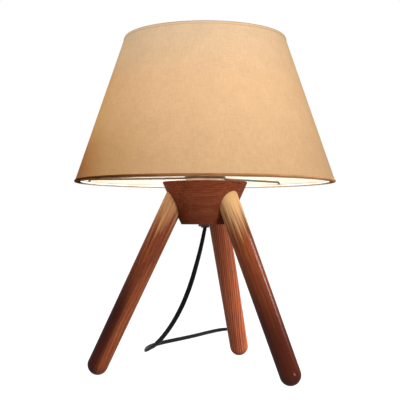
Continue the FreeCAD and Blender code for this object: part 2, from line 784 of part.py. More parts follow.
def rocker():
    """Rocker with two trunnions, tipped to its on side."""
    half = ROCKER_LENGTH / 2
    outline = [
        Vector(-half, 0, 0), Vector(-half, 0, ROCKER_RIM), Vector(0, 0, ROCKER_DIP),
        Vector(half, 0, ROCKER_RIM), Vector(half, 0, 0), Vector(0, 0, -ROCKER_KEEL),
    ]
    body = Part.Face(Part.makePolygon(outline + outline[:1])).extrude(Vector(0, ROCKER_WIDTH, 0))
    body.translate(Vector(0, -ROCKER_WIDTH / 2, ROCKER_PIVOT_Z))
    whole = body.fuse(rocker_pin(ROCKER_PIN_R, 0.0)).removeSplitter()
    whole.rotate(Vector(0, 0, ROCKER_PIVOT_Z), Vector(0, 1, 0), ROCKER_TILT)
    return whole


def contact_bridge():
    """Brass bridge beside the cord on the case's floor."""
    block = centred_box(BRIDGE_LENGTH, BRIDGE_WIDTH, SWITCH_WALL, SWITCH_WALL + BRIDGE_HEIGHT)
    block.translate(Vector(0, -SWITCH_SCREW_ASIDE, 0))
    return block


def corner_arc(start, corner, end):
    """Arc tangent to both sides of a corner, or a line where they are straight."""
    chord_middle = (start + end) / 2
    rise = (chord_middle - corner).Length
    if rise < TINY:
        return line(start, end)
    reach = (corner - start).Length
    radius = reach * (chord_middle - start).Length / rise
    inward = (chord_middle - corner).normalize()
    return arc(start, corner + inward * (math.hypot(radius, reach) - radius), end)


def joined_arcs(start, start_way, end, end_way):
    """Two arcs that leave and reach two points in given directions and meet smoothly."""
    gap = end - start
    spread = 2 * (1 - start_way.dot(end_way))
    along = gap.dot(start_way + end_way)
    if spread < TINY:
        reach = gap.dot(gap) / (2 * along)
    else:
        reach = (math.sqrt(along ** 2 + spread * gap.dot(gap)) - along) / spread
    first_corner = start + start_way * reach
    second_corner = end - end_way * reach
    join = (first_corner + second_corner) / 2
    return [corner_arc(start, first_corner, join), corner_arc(join, second_corner, end)]


def hank_stations():
    """Places and headings round the hank's loops, which climb along each left-hand run."""
    far = HANK_HALF_RUN + HANK_FOLD_R
    stations = []
    for turn in range(HANK_TURNS):
        low = HANK_BASE_Z + turn * HANK_PITCH
        high = low + HANK_PITCH
        stations += [
            ((-HANK_HALF_RUN, HANK_FOLD_R if turn else 0, low), (1, 0)),
            ((0, HANK_WAIST, low), (1, 0)),
            ((HANK_HALF_RUN, HANK_FOLD_R, low), (1, 0)),
            ((far, 0, low), (0, -1)),
            ((HANK_HALF_RUN, -HANK_FOLD_R, low), (-1, 0)),
            ((0, -HANK_WAIST, (low + high) / 2), (-1, 0)),
            ((-HANK_HALF_RUN, -HANK_FOLD_R, high), (-1, 0)),
            ((-far, 0, high), (0, 1)),
        ]
    return stations[:-3]


def hank_path():
    """One unbroken line through the hank's loops, with straight ends."""
    places = []
    for (along, aside, height), (ahead, across) in hank_stations():
        place = on_line(HANK_CENTRE_AT + along, aside, height)
        places.append((place, LINE_DIRECTION * ahead + LINE_SIDE * across))
    first, first_way = places[0]
    last, last_way = places[-1]
    edges = [line(first - first_way * STUB_LENGTH, first)]
    for (start, start_way), (end, end_way) in zip(places, places[1:]):
        edges += joined_arcs(start, start_way, end, end_way)
    edges.append(line(last, last + last_way * STUB_LENGTH))
    return Part.Wire(edges), first - first_way * STUB_LENGTH, last + last_way * STUB_LENGTH


def least_gap(path):
    """Smallest distance between the wound tube's surface and itself, measured on points."""
    points = path.discretize(Number=int(path.Length / CORD_R))
    step = path.Length / (len(points) - 1)
    apart = int(GAP_SKIP * 2 * CORD_R / step)
    nearest = path.Length
    for index, point in enumerate(points):
        for other in points[index + apart:]:
            nearest = min(nearest, point.distanceToPoint(other))
    return nearest - 2 * CORD_R


def hank_tie():
    """Strap closed round the hank's waist."""
    outer = centred_box(TIE_LENGTH, 2 * TIE_HALF_WIDTH + 2 * TIE_WALL, 0, TIE_TOP_Z)
    inner = centred_box(TIE_LENGTH, 2 * TIE_HALF_WIDTH, TIE_WALL, TIE_TOP_Z - TIE_WALL)
    return placed(outer.cut(inner), HANK_CENTRE_AT)


def plug_taper():
    """Tapered strain relief between the cord and the plug's body."""
    start = Vector(0, 0, PLUG_AXIS_Z)
    taper = Part.makeCone(
        PLUG_TAPER_END_R, PLUG_TAPER_R, PLUG_TAPER_LENGTH, start, Vector(-1, 0, 0)
    )
    return placed(taper, HANK_CENTRE_AT)


def plug_blades():
    """Two flat blades, rooted in the plug's body."""
    body_end = -PLUG_TAPER_LENGTH - PLUG_BODY_LENGTH
    blades = []
    for side in (-1, 1):
        middle = side * BLADE_SPACING / 2
        blades.append(Part.makeBox(
            BLADE_LENGTH + BLADE_ROOT, BLADE_THICKNESS, BLADE_WIDTH,
            Vector(body_end - BLADE_LENGTH, middle - BLADE_THICKNESS / 2, PLUG_AXIS_Z - BLADE_WIDTH / 2),
        ))
    return placed(Part.makeCompound(blades), HANK_CENTRE_AT)


def plug_body(blades):
    """Moulded block with rounded edges and the blades' seats."""
    block = centred_box(
        PLUG_BODY_LENGTH, PLUG_BODY_WIDTH,
        PLUG_AXIS_Z - PLUG_BODY_HEIGHT / 2, PLUG_AXIS_Z + PLUG_BODY_HEIGHT / 2,
        -PLUG_TAPER_LENGTH - PLUG_BODY_LENGTH / 2,
    )
    block = block.makeFillet(PLUG_EDGE_R, block.Edges)
    return placed(block, HANK_CENTRE_AT).cut(blades)


# ---- whole lamp --------------------------------------------------------------------------
def build_shade():
    """Write the skin, liner, hems, hoops and spider."""
    export("shade_fabric", shade_layer(0, FABRIC_WALL))
    export("shade_liner", shade_layer(FABRIC_WALL, FABRIC_WALL + LINER_WALL))
    export("shade_bottom_hem", bottom_hem())
    export("shade_top_hem", top_hem())
    hoop = wire_ring(BOTTOM_RING_R, BOTTOM_RING_Z)
    fitter = fitter_ring()
    export("shade_bottom_ring", hoop)
    export("shade_top_ring", wire_ring(TOP_RING_R, TOP_RING_Z))
    export("fitter_ring", fitter)
    for number, azimuth in enumerate(SPOKE_AZIMUTHS, start=1):
        export(f"spider_spoke_{number}", spoke(azimuth, fitter, hoop))
    export("retaining_ring", retaining_ring())


def build_stand():
    """Write the hub, the legs and their screws, the tube, its nut and the cord grip."""
    azimuths = LEG_AZIMUTHS.values()
    legs = [leg_blank(azimuth) for azimuth in azimuths]
    screws = [leg_screw_blank(azimuth) for azimuth in azimuths]
    export("hub", hub(legs, screws))
    for name, leg, screw in zip(LEG_AZIMUTHS, legs, screws):
        export(name, leg.cut(floor_block()).cut(screw))
    export("leg_screws", Part.makeCompound([leg_screw(azimuth) for azimuth in azimuths]))
    export("threaded_tube", threaded_tube())
    export("lock_nut", lock_nut())
    export("cord_grip", cord_grip())


def build_lampholder():
    """Write the lampholder's parts and the cores that reach its terminals."""
    cores = [core(side) for side in (-1, 1)]
    terminals = terminal_screws()
    export("lampholder_cap", lampholder_cap())
    export("lampholder_skirt", lampholder_skirt())
    export("lampholder_insert", lampholder_insert(terminals))
    export("lampholder_screw_shell", screw_shell())
    export("lampholder_contact", centre_contact())
    export("terminal_screws", terminals)
    export("core_live", cores[0])
    export("core_neutral", cores[1])
    export("cord_inside", cylinder(CORD_R, LEAD_START.z, TUBE_TOP_Z))


def build_bulb():
    """Write the bulb's parts."""
    export("bulb_glass", bulb_glass())
    export("bulb_cap", bulb_cap())
    export("bulb_insulator", bulb_insulator())
    export("bulb_contact", cylinder(BULB_TIP_R, BULB_TIP_Z, BULB_TIP_Z + BULB_TIP_HEIGHT))
    export("bulb_stem", bulb_stem())
    export("bulb_filaments", bulb_filaments())


def build_switch():
    """Write the in-line switch's parts."""
    middle = SWITCH_LENGTH / 2
    export("switch_bottom_case", placed(switch_bottom_case(), middle))
    export("switch_top_case", placed(switch_top_case(), middle))
    export("switch_rocker", placed(rocker(), middle))
    export("switch_contact", placed(contact_bridge(), middle))
    export("switch_screws", placed(switch_screws(), middle))


def build_cord():
    """Write the cord's stretches, its hank and tie, and the plug."""
    hank, hank_start, hank_end = hank_path()
    lead_points = [LEAD_START] + [Vector(*point) for point in LEAD_ROUTE]
    lead, lead_length = cord_tube(lead_points + [on_line(0, 0, SWITCH_CORD_Z)], "cord_lead")
    link, link_length = cord_tube([on_line(SWITCH_LENGTH, 0, SWITCH_CORD_Z), hank_start], "cord_link")
    tail_points = [on_line(HANK_CENTRE_AT + x, y, z) for x, y, z in TAIL_ROUTE]
    tail, tail_length = cord_tube([hank_end] + tail_points, "cord_tail")
    export("cord_lead", lead)
    export("cord_link", link)
    export("cord_hank", tube_along(hank, CORD_R))
    export("cord_tail", tail)
    export("hank_tie", hank_tie())
    blades = plug_blades()
    export("plug_taper", plug_taper())
    export("plug_body", plug_body(blades))
    export("plug_blades", blades)
    total = lead_length + SWITCH_LENGTH + link_length + hank.Length + tail_length + PLUG_TAPER_LENGTH
    print(f"cord_hank: length {hank.Length:.1f}, least gap to itself {least_gap(hank):.2f}")
    print(f"whole cord: {total:.0f}")


def main():
    """Build and write every sub-part."""
    build_shade()
    build_stand()
    build_lampholder()
    build_bulb()
    build_switch()
    build_cord()


if __name__ == "__main__":
    main()
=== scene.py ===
"""Looks of the tripod table lamp: linen shade, turned wooden hub, three round legs, flat cord.

Everything is in metres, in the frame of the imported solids: +Z up, the origin on the lamp's axis
on the surface that the feet stand on, +X to the right and +Y away from the camera.
"""

import logging
import math
from collections.abc import Callable, Sequence
from dataclasses import dataclass, field, replace
from enum import Enum
from typing import Any, NamedTuple

import bmesh
import bpy
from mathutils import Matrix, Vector


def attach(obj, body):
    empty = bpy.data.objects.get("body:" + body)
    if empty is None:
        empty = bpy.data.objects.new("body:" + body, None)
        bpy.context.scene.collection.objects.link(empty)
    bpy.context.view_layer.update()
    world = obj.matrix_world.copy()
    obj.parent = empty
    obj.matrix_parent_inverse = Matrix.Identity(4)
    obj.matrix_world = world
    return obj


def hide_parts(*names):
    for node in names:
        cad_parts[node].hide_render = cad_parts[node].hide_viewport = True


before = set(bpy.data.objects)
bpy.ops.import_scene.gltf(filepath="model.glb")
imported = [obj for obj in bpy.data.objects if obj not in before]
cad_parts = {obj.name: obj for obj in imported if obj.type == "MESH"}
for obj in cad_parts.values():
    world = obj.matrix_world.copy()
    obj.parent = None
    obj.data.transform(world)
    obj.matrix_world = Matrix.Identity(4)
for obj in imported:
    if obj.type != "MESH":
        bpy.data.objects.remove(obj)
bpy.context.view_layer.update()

Colour = tuple[float, float, float]
Place = tuple[float, float, float]
Flat = tuple[float, float]
Socket = bpy.types.NodeSocket
Piece = bpy.types.Object

LOG = logging.getLogger("lamp")
TURN = 2 * math.pi
UP = Vector((0.0, 0.0, 1.0))
WHITE = (1.0, 1.0, 1.0, 1.0)
BULB_CENTRE = (0.0, 0.0, 0.328)
SHARP_DEG = 35.0
WELD_GAP = 1e-6


class Span(NamedTuple):
    """Stretch between two values."""

    low: float
    high: float

    def share(self, value: float) -> float:
        """Share of the way along the stretch, kept between 0 and 1, smooth at both ends."""
        share = min(1.0, max(0.0, (value - self.low) / (self.high - self.low)))
        return share * share * (3 - 2 * share)


# ---- node graphs ---------------------------------------------------------------------------
def maths(operation: str, reflected: bool = False) -> Callable[..., "Wire"]:
    """Gives the method that stands for one operator or function of a wire.

    Args:
        operation: The Math node's operation.
        reflected: Whether the wire is on the operator's right side.

    Returns:
        The method.
    """

    def method(wire: "Wire", *others: "Wire | float") -> "Wire":
        """Adds the Math node and gives its result."""
        return wire.graph.math(operation, *((*others, wire) if reflected else (wire, *others)))

    return method


class Wire:
    """An output socket that takes part in Python arithmetic by adding Math nodes."""

    def __init__(self, graph: "Graph", socket: Socket) -> None:
        """Wraps an output socket of a graph."""
        self.graph = graph
        self.socket = socket

    __add__ = maths("ADD")
    __radd__ = maths("ADD", True)
    __sub__ = maths("SUBTRACT")
    __rsub__ = maths("SUBTRACT", True)
    __mul__ = maths("MULTIPLY")
    __truediv__ = maths("DIVIDE")
    __rtruediv__ = maths("DIVIDE", True)
    __pow__ = maths("POWER")
    sine = maths("SINE")
    cosine = maths("COSINE")
    fraction = maths("FRACT")
    magnitude = maths("ABSOLUTE")

    def swing(self, size: float) -> "Wire":
        """How far the value is from one half, times a size."""
        return (self - 0.5) * size

    def ramp(self, low: float, high: float) -> "Wire":
        """Share of the way from low to high, kept between 0 and 1, smooth at both ends."""
        inputs = {"Value": self, "From Min": low, "From Max": high}
        return self.graph.wire("Result", "ShaderNodeMapRange", inputs, interpolation_type="SMOOTHSTEP")

    def step(self, edge: float, soft: float) -> "Wire":
        """0 below an edge and 1 above it, with a soft change of a given half width."""
        return self.ramp(edge - soft, edge + soft)


class Graph:
    """A node tree, written to through a few kinds of call: any node, maths, vectors and mixes."""

    def __init__(self, tree: bpy.types.NodeTree) -> None:
        """Wraps a shader or Geometry Nodes tree."""
        self.tree = tree

    def node(self, kind: str, inputs: dict[Any, Any] | None = None, **settings: Any) -> bpy.types.Node:
        """Adds a node of any type.

        Args:
            kind: The node's type.
            inputs: Plain values, wires or output sockets by socket name or number.
            **settings: Properties, which are set before the inputs.

        Returns:
            The new node.
        """
        made = self.tree.nodes.new(kind)
        for name, value in settings.items():
            setattr(made, name, value)
        for key, value in (inputs or {}).items():
            source = value.socket if isinstance(value, Wire) else value
            if isinstance(source, bpy.types.NodeSocket):
                self.tree.links.new(source, made.inputs[key])
            else:
                made.inputs[key].default_value = source
        return made

    def wire(
        self, output: int | str, kind: str, inputs: dict[Any, Any] | None = None, **settings: Any
    ) -> Wire:
        """Adds a node and gives one of its outputs."""
        return Wire(self, self.node(kind, inputs, **settings).outputs[output])

    def math(self, operation: str, *values: "Wire | float") -> Wire:
        """Adds one Math node."""
        return self.wire(0, "ShaderNodeMath", dict(enumerate(values)), operation=operation)

    def vector(self, operation: str, *values: Any) -> Wire:
        """Adds one Vector Math node and gives its vector, or its number for LENGTH."""
        output = "Value" if operation == "LENGTH" else "Vector"
        return self.wire(output, "ShaderNodeVectorMath", dict(enumerate(values)), operation=operation)

    def mix(self, share: Any, low: Any, high: Any, blend: str = "MIX") -> Wire:
        """Mixes two colours.

        Args:
            share: How much of the second colour.
            low: The first colour, or a wire.
            high: The second colour, or a wire.
            blend: How the second is laid on the first.

        Returns:
            The mixed colour.
        """
        first, second = [c if isinstance(c, Wire) else (*c, 1.0) for c in (low, high)]
        inputs = {0: share, 6: first, 7: second}
        return self.wire(2, "ShaderNodeMix", inputs, data_type="RGBA", blend_type=blend)

    def parts(self, vector: Any) -> tuple[Wire, Wire, Wire]:
        """Splits a vector into its three numbers."""
        made = self.node("ShaderNodeSeparateXYZ", {0: vector})
        return tuple(Wire(self, made.outputs[axis]) for axis in range(3))

    def joined(self, *numbers: "Wire | float") -> Wire:
        """Makes a vector from three numbers."""
        return self.wire(0, "ShaderNodeCombineXYZ", dict(enumerate(numbers)))

    def reach(self, x: Wire, y: Wire) -> Wire:
        """Distance of a point from the upright axis."""
        return self.vector("LENGTH", self.joined(x, y, 0.0))

    def seen(self) -> Wire:
        """Tells which rays show a thing directly.

        Returns:
            1 on rays from the camera, from a mirror or through glass, and 0 on all others.
        """
        paths = self.node("ShaderNodeLightPath").outputs
        eye, mirror, glass = [
            Wire(self, paths[kind]) for kind in ("Is Camera Ray", "Is Glossy Ray", "Is Transmission Ray")
        ]
        return self.math("MINIMUM", eye + mirror + glass, 1.0)


class ShaderGraph(Graph):
    """A material's graph, with the patterns that several finishes share."""

    def place(self) -> Wire:
        """Point of the surface in the object's own coordinates."""
        return self.wire("Object", "ShaderNodeTexCoord")

    def laid(self) -> Wire:
        """Point of the surface in the piece's own UV map, which is in metres."""
        return self.wire("UV", "ShaderNodeUVMap", uv_map="laid")

    def noise(
        self, where: Any, scale: float | Sequence[float], detail: float = 2.0, rough: float = 0.5
    ) -> Wire:
        """Noise, which can be stretched differently along each axis.

        Args:
            where: Coordinates.
            scale: Features per metre, or one such number for each axis.
            detail: How many finer layers.
            rough: How strong the finer layers are.

        Returns:
            A number round 0.5.
        """
        scales = (scale,) * 3 if isinstance(scale, float) else tuple(scale)
        stretched = self.vector("MULTIPLY", where, scales)
        inputs = {"Vector": stretched, "Scale": 1.0, "Detail": detail, "Roughness": rough}
        return self.wire("Fac", "ShaderNodeTexNoise", inputs)

    def ramp(self, share: Wire, stops: Sequence[tuple[float, Colour]]) -> Wire:
        """Colours along a number.

        Args:
            share: The number, from 0 to 1.
            stops: Places and colours.

        Returns:
            The colour.
        """
        made = self.node("ShaderNodeValToRGB", {"Fac": share})
        elements = made.color_ramp.elements
        while len(elements) < len(stops):
            elements.new(1.0)
        for element, (place, colour) in zip(elements, stops):
            element.position = place
            element.color = (*colour, 1.0)
        return Wire(self, made.outputs["Color"])

    def shaded(self, colour: Any, light: Wire) -> Wire:
        """Colour at a light level."""
        return self.mix(1.0, colour, self.joined(light, light, light), "MULTIPLY")

    def bulb_light(self, place: Wire, near: float, falloff: float) -> Wire:
        """Share of the bulb's light at a point: 1 at the near distance, and less by a power of it."""
        away = self.vector("LENGTH", self.vector("SUBTRACT", place, BULB_CENTRE))
        return (near / away) ** falloff

    def bump(self, height: Wire, reach: float, strength: float) -> Wire:
        """Normal of a relief, from a height of 0 to 1, the metres that 1 stands for and a strength."""
        inputs = {"Height": height, "Distance": reach, "Strength": strength}
        return self.wire("Normal", "ShaderNodeBump", inputs)

    def surface(self, inputs: dict[str, Any]) -> Socket:
        """Principled shader with the given values or links by socket name."""
        whole = {key: (*v, 1.0) if isinstance(v, tuple) else v for key, v in inputs.items()}
        return self.node("ShaderNodeBsdfPrincipled", whole).outputs[0]


# ---- finishes ------------------------------------------------------------------------------
@dataclass(frozen=True)
class Finish:
    """A surface finish that becomes one material."""

    name: str

    def shade(self, graph: ShaderGraph) -> Socket:
        """Builds the shader in a material's graph and returns its output."""
        raise NotImplementedError

    def material(self) -> bpy.types.Material:
        """Makes the material once.

        Returns:
            The material of this finish.
        """
        title = "look_" + self.name
        made = bpy.data.materials.get(title)
        if made is None:
            made = bpy.data.materials.new(title)
            made.use_nodes = True
            made.node_tree.nodes.clear()
            graph = ShaderGraph(made.node_tree)
            graph.node("ShaderNodeOutputMaterial", {"Surface": self.shade(graph)})
        return made


@dataclass(frozen=True)
class Linen(Finish):
    """Plain-weave linen, lit through from inside, with painted shade towards its sides, on its right, at its
    lower left corner and towards its bottom; its UV map is the flat cut in metres.
    """

    colour: Colour = (0.24, 0.152, 0.080)
    fold_colour: Colour = (0.16, 0.07, 0.035)
    glow: Colour = (0.505, 0.312, 0.170)
    # edge_glow is the glow's colour away from the bulb and in the painted shade at the sides; the colour
    # after it is that of the painted shade at the lower left corner.
    edge_glow: Colour = (0.40, 0.165, 0.0)
    painted_corner_shade_colour: Colour = (0.36, 0.075, 0.0)
    top_glow: Colour = (0.46, 0.36, 0.25)
    yarn: float = 0.0008
    near: float = 0.134
    falloff: float = 0.62
    # low gives the heights over which the painted shade at the bottom fades out; the span after it does the
    # same for the painted shade at the lower left corner.
    low: Span = Span(0.236, 0.340)
    painted_corner_heights: Span = Span(0.236, 0.310)
    high: Span = Span(0.34, 0.42)
    fold_z: float = 1.0
    fold_soft: float = 0.0003
    # Painted shade: how much the glow is dimmed at the left and right sides (less on the left), on the right
    # half and at the lower left corner.
    painted_edge_shade: float = 0.30
    painted_edge_shade_left_cut: float = 0.20
    painted_shade_right_loss: float = 0.55
    painted_corner_shade: float = 0.40
    fold_loss: float = 0.5

    def crossed(self, graph: ShaderGraph, fine: float, rest: float, rough: float) -> Wire:
        """Mean unevenness of the yarns of both directions.

        Args:
            graph: The material's graph.
            fine: Features per metre across a yarn.
            rest: Features per metre along it.
            rough: How strong the finer layers are.

        Returns:
            A number round 0.5.
        """
        weft, warp = [
            graph.noise(graph.laid(), scale, 2.0, rough) for scale in ((rest, fine, 1.0), (fine, rest, 1.0))
        ]
        return (weft + warp) * 0.5

    def shade(self, graph: ShaderGraph) -> Socket:
        """Builds the shader.

        Args:
            graph: The material's graph.

        Returns:
            The shader's output.
        """
        across, along, _ = graph.parts(graph.laid())
        beat = TURN / (2 * self.yarn)
        weave = ((across * beat).sine() * (along * beat).sine()).magnitude()
        slub, loose = self.crossed(graph, 1250.0, 120.0, 0.6), self.crossed(graph, 560.0, 75.0, 0.55)
        cloud = graph.noise(graph.laid(), (44.0, 44.0, 1.0), 3.0, 0.5)
        cloth = slub.swing(0.46) + loose.swing(0.32) + cloud.swing(0.16) + weave * 0.08 + 0.965
        place = graph.place()
        share = graph.bulb_light(place, self.near, self.falloff)
        x, y, z = graph.parts(place)
        reach = graph.reach(x, y)
        right = x / reach
        # Masks for painted shade: both sides, the left half, the right half, the lower left corner and the
        # bottom.
        side = 1.0 - y.magnitude() / reach
        painted_shade_left = 1.0 - right.ramp(-0.95, 0.25)
        painted_shade_right = graph.math("MAXIMUM", right, 0.0) ** 3.0
        corner = painted_shade_left * side.ramp(0.20, 0.75) * (1.0 - z.ramp(*self.painted_corner_heights))
        low = 1.0 - z.ramp(*self.low)
        painted_shade_low_left = painted_shade_left * low * (1.0 - right.ramp(-0.6, 0.1))
        fold = z.step(self.fold_z, self.fold_soft)
        # Painted shade: the glow is dimmed at the sides, at the lower left corner, on the right half and
        # towards the bottom.
        lit = share * cloth * (1.0 - side * (self.painted_edge_shade - painted_shade_left * self.painted_edge_shade_left_cut))
        lit = lit * (1.0 - corner * self.painted_corner_shade) * (1.0 - painted_shade_right * self.painted_shade_right_loss)
        lit = lit * (1.0 - painted_shade_low_left * 0.06) * (1.0 - low * (painted_shade_right * 0.25 + 0.10))
        lit = lit * (1.0 - fold * self.fold_loss)
        # The glow turns redder away from the bulb and in the fold, and as painted shade at the sides and the
        # lower left.
        warmer = (1.0 - share) * 0.5 + side * painted_shade_left * 0.60 + painted_shade_low_left * 0.35 + side * 0.10 + fold * 0.8
        glow = graph.mix(graph.math("MINIMUM", warmer, 1.0), self.glow, self.edge_glow)
        glow = graph.mix(corner, glow, self.painted_corner_shade_colour)
        glow = graph.mix(z.ramp(*self.high) * 0.7, glow, self.top_glow)
        return graph.surface({
            "Base Color": graph.mix(fold, graph.shaded(self.colour, cloth), self.fold_colour),
            "Roughness": 0.9, "Specular IOR Level": 0.0,
            "Emission Color": graph.shaded(glow, lit), "Emission Strength": 1.0,
            "Normal": graph.bump(weave * 0.5 + slub * 0.5, 0.00025, 0.7),
        })


@dataclass(frozen=True)
class Lining(Finish):
    """Pale translucent sheet behind the linen, with a painted glow of the bulb's light, brightest where the
    bulb is near.
    """

    glow: float = 0.84
    near: float = 0.134
    falloff: float = 1.2

    def shade(self, graph: ShaderGraph) -> Socket:
        """Builds the shader.

        Args:
            graph: The material's graph.

        Returns:
            The shader's output.
        """
        place = graph.place()
        share = graph.bulb_light(place, self.near, self.falloff)
        grain = graph.noise(place, 260.0, 3.0)
        glow = graph.mix((1.0 - share) * 0.9, (1.0, 0.93, 0.82), (1.0, 0.78, 0.55))
        return graph.surface({
            "Base Color": graph.mix(grain, (0.86, 0.80, 0.68), (0.93, 0.88, 0.78)), "Roughness": 0.55,
            "Emission Color": graph.shaded(glow, share * (grain * 0.10 + 0.95)),
            "Emission Strength": self.glow, "Normal": graph.bump(grain, 0.0001, 0.4),
        })


@dataclass(frozen=True)
class Tape(Finish):
    """Narrow woven tape, ribbed across its width, with painted shade from left to right and painted light on
    its far side and inner lip.
    """

    # left, colour and right are painted shade from the shade's left to its right, and far is painted light on
    # the far side; inner and inner_glow are painted light on the inner lip.
    left: Colour = (0.085, 0.028, 0.009)
    colour: Colour = (0.200, 0.083, 0.030)
    right: Colour = (0.34, 0.175, 0.085)
    far: Colour = (0.80, 0.66, 0.52)
    inner: Colour = (0.90, 0.84, 0.74)
    inner_r: float = 0.0
    inner_z: float = 0.0
    inner_glow: float = 0.0
    glow: float = 0.0
    rib: float = 0.0009
    cross_rib: float = 0.0007
    soft: float = 0.0002

    def shade(self, graph: ShaderGraph) -> Socket:
        """Builds the shader.

        Args:
            graph: The material's graph.

        Returns:
            The shader's output.
        """
        round_way, across, _ = graph.parts(graph.laid())
        rib = (round_way * (TURN / self.rib)).sine() * 0.5 + 0.5
        cross = (across * (TURN / self.cross_rib)).sine() * 0.5 + 0.5
        place = graph.place()
        light = rib * 0.12 + cross * 0.10 + graph.noise(place, 60.0, 3.0).swing(0.7) + 0.88
        x, y, z = graph.parts(place)
        reach = graph.reach(x, y)
        # Painted light on the inner lip, painted shade from left to right, and painted light on the far side.
        inside = (1.0 - reach.step(self.inner_r, self.soft)) * z.step(self.inner_z, self.soft)
        stops = [(0.18, self.left), (0.36, self.colour), (0.95, self.right)]
        outer = graph.mix((y / reach).ramp(-0.15, 0.35), graph.ramp(x / reach * 0.5 + 0.5, stops), self.far)
        base = graph.shaded(graph.mix(inside, outer, self.inner), light)
        return graph.surface({
            "Base Color": base, "Roughness": 0.85, "Specular IOR Level": 0.0,
            "Emission Color": graph.mix(inside, base, (self.inner_glow,) * 3),
            "Emission Strength": self.glow, "Normal": graph.bump(rib * 0.6 + cross * 0.4, 0.00015, 0.6),
        })


class Cut(Enum):
    """How round the year rings lie about the grain, by the way the wood was cut."""

    DOWEL = 0.3
    BLOCK = 1.0


class PaintedBand(NamedTuple):
    """Greatest share of a band of painted light and shade, and the heights between which it goes or comes.

    A band that is given from high to low works the other way round.
    """

    share: float = 0.0
    low: float = 0.0
    high: float = 1.0


@dataclass(frozen=True)
class Wood(Finish):
    """Stained hardwood under satin lacquer; the grain runs along a chosen direction."""

    grain: Place = (0.0, 0.0, 1.0)
    centre: Place = (0.0, 0.0, 0.0)
    shift: Place = (0.021, 0.004, 0.0)
    cut: Cut = Cut.DOWEL
    ring: float = 0.0046
    dark: Colour = (0.108, 0.0195, 0.0062)
    middle: Colour = (0.245, 0.057, 0.018)
    light: Colour = (0.345, 0.110, 0.040)
    deep: Colour = (0.044, 0.0055, 0.002)
    # The pale colour is painted light on the tops of the legs.
    pale: Colour = (0.62, 0.38, 0.18)
    blotch: float = 0.5
    sway: float = 7.0
    late: float = 0.16
    coat: float = 0.18
    # These three paint shade on one side and on the low part, and light on the high part.
    painted_shade_side: float = 0.0
    painted_low_shade: PaintedBand = PaintedBand()
    painted_top_light: PaintedBand = PaintedBand()

    def raised(self, lift: float, brightening: float) -> "Wood":
        """The same wood with its three tones changed.

        Args:
            lift: What each tone is multiplied by.
            brightening: What is then added to it.

        Returns:
            The changed wood.
        """
        tones = {
            tone: tuple(part * lift + brightening for part in getattr(self, tone))
            for tone in ("dark", "middle", "light")
        }
        return replace(self, **tones)

    def wear_and_painted_light(self, graph: ShaderGraph, body: Wire, turned: Wire, stain: Wire, streak: Wire) -> Wire:
        """Paints shade on the low part, also on one side where that is set, and paints light on the high
        part.

        Args:
            graph: The material's graph.
            body: The wood's colour.
            turned: Point with the third number along the grain.
            stain: Broad patches.
            streak: Streaks along the grain.

        Returns:
            The colour with both tones laid on.
        """
        height = graph.parts(graph.place())[2]
        # Painted shade low down, and on one side where that is set.
        share, low, high = self.painted_low_shade
        if share:
            dark = (1.0 - (height + stain.swing(0.06)).ramp(low, high)) * share
            if self.painted_shade_side:
                edge = graph.parts(turned)[0] * self.painted_shade_side + streak.swing(0.006)
                dark = dark * edge.ramp(-0.007, 0.003)
            body = graph.mix(dark, body, self.deep)
        # Painted light on the high part.
        share, low, high = self.painted_top_light
        if share:
            body = graph.mix((height + streak.swing(0.10)).ramp(low, high) * share, body, self.pale)
        return body

    def shade(self, graph: ShaderGraph) -> Socket:
        """Builds the shader.

        Args:
            graph: The material's graph.

        Returns:
            The shader's output.
        """
        turn = UP.rotation_difference(Vector(self.grain)).to_euler()
        inputs = {"Vector": graph.place(), "Location": self.centre, "Rotation": turn}
        turned = graph.wire(0, "ShaderNodeMapping", inputs, vector_type="TEXTURE")
        along = graph.vector("ADD", turned, self.shift)
        sway = graph.noise(along, (16.0, 16.0, 3.2), 2.0)
        wave = graph.noise(along, (70.0, 70.0, 9.0), 2.0)
        x, y, _ = graph.parts(along)
        count = graph.reach(x, y * self.cut.value) / self.ring + sway.swing(self.sway) + wave.swing(1.2)
        year = count.fraction()
        late = year.ramp(0.35, 0.93) * (1.0 - year.ramp(0.95, 1.0))
        fibre = graph.noise(along, (1100.0, 1100.0, 20.0), 3.0, 0.6)
        streak = graph.noise(along, (300.0, 300.0, 5.0), 3.0, 0.55)
        pore = graph.noise(along, (2300.0, 2300.0, 75.0), 1.0).ramp(0.60, 0.72)
        stain = graph.noise(along, (38.0, 38.0, 9.0), 3.0, 0.5)
        tone = 0.53 + fibre.swing(0.7) + streak.swing(0.75) - late * self.late
        body = graph.ramp(tone, [(0.12, self.dark), (0.5, self.middle), (0.86, self.light)])
        patch = stain.ramp(0.40, 0.72) * self.blotch
        stained = graph.mix(patch, body, graph.mix(0.75, body, self.deep))
        flecked = graph.mix(pore * 0.5, stained, self.deep)
        return graph.surface({
            "Base Color": self.wear_and_painted_light(graph, flecked, turned, stain, streak),
            "Roughness": fibre.swing(0.25) + pore * 0.2 + 0.42,
            "Coat Weight": self.coat, "Coat Roughness": 0.20, "Specular IOR Level": 0.0,
            "Normal": graph.bump(fibre * 0.5 + streak * 0.2 - pore * 0.6, 0.00012, 0.7),
        })


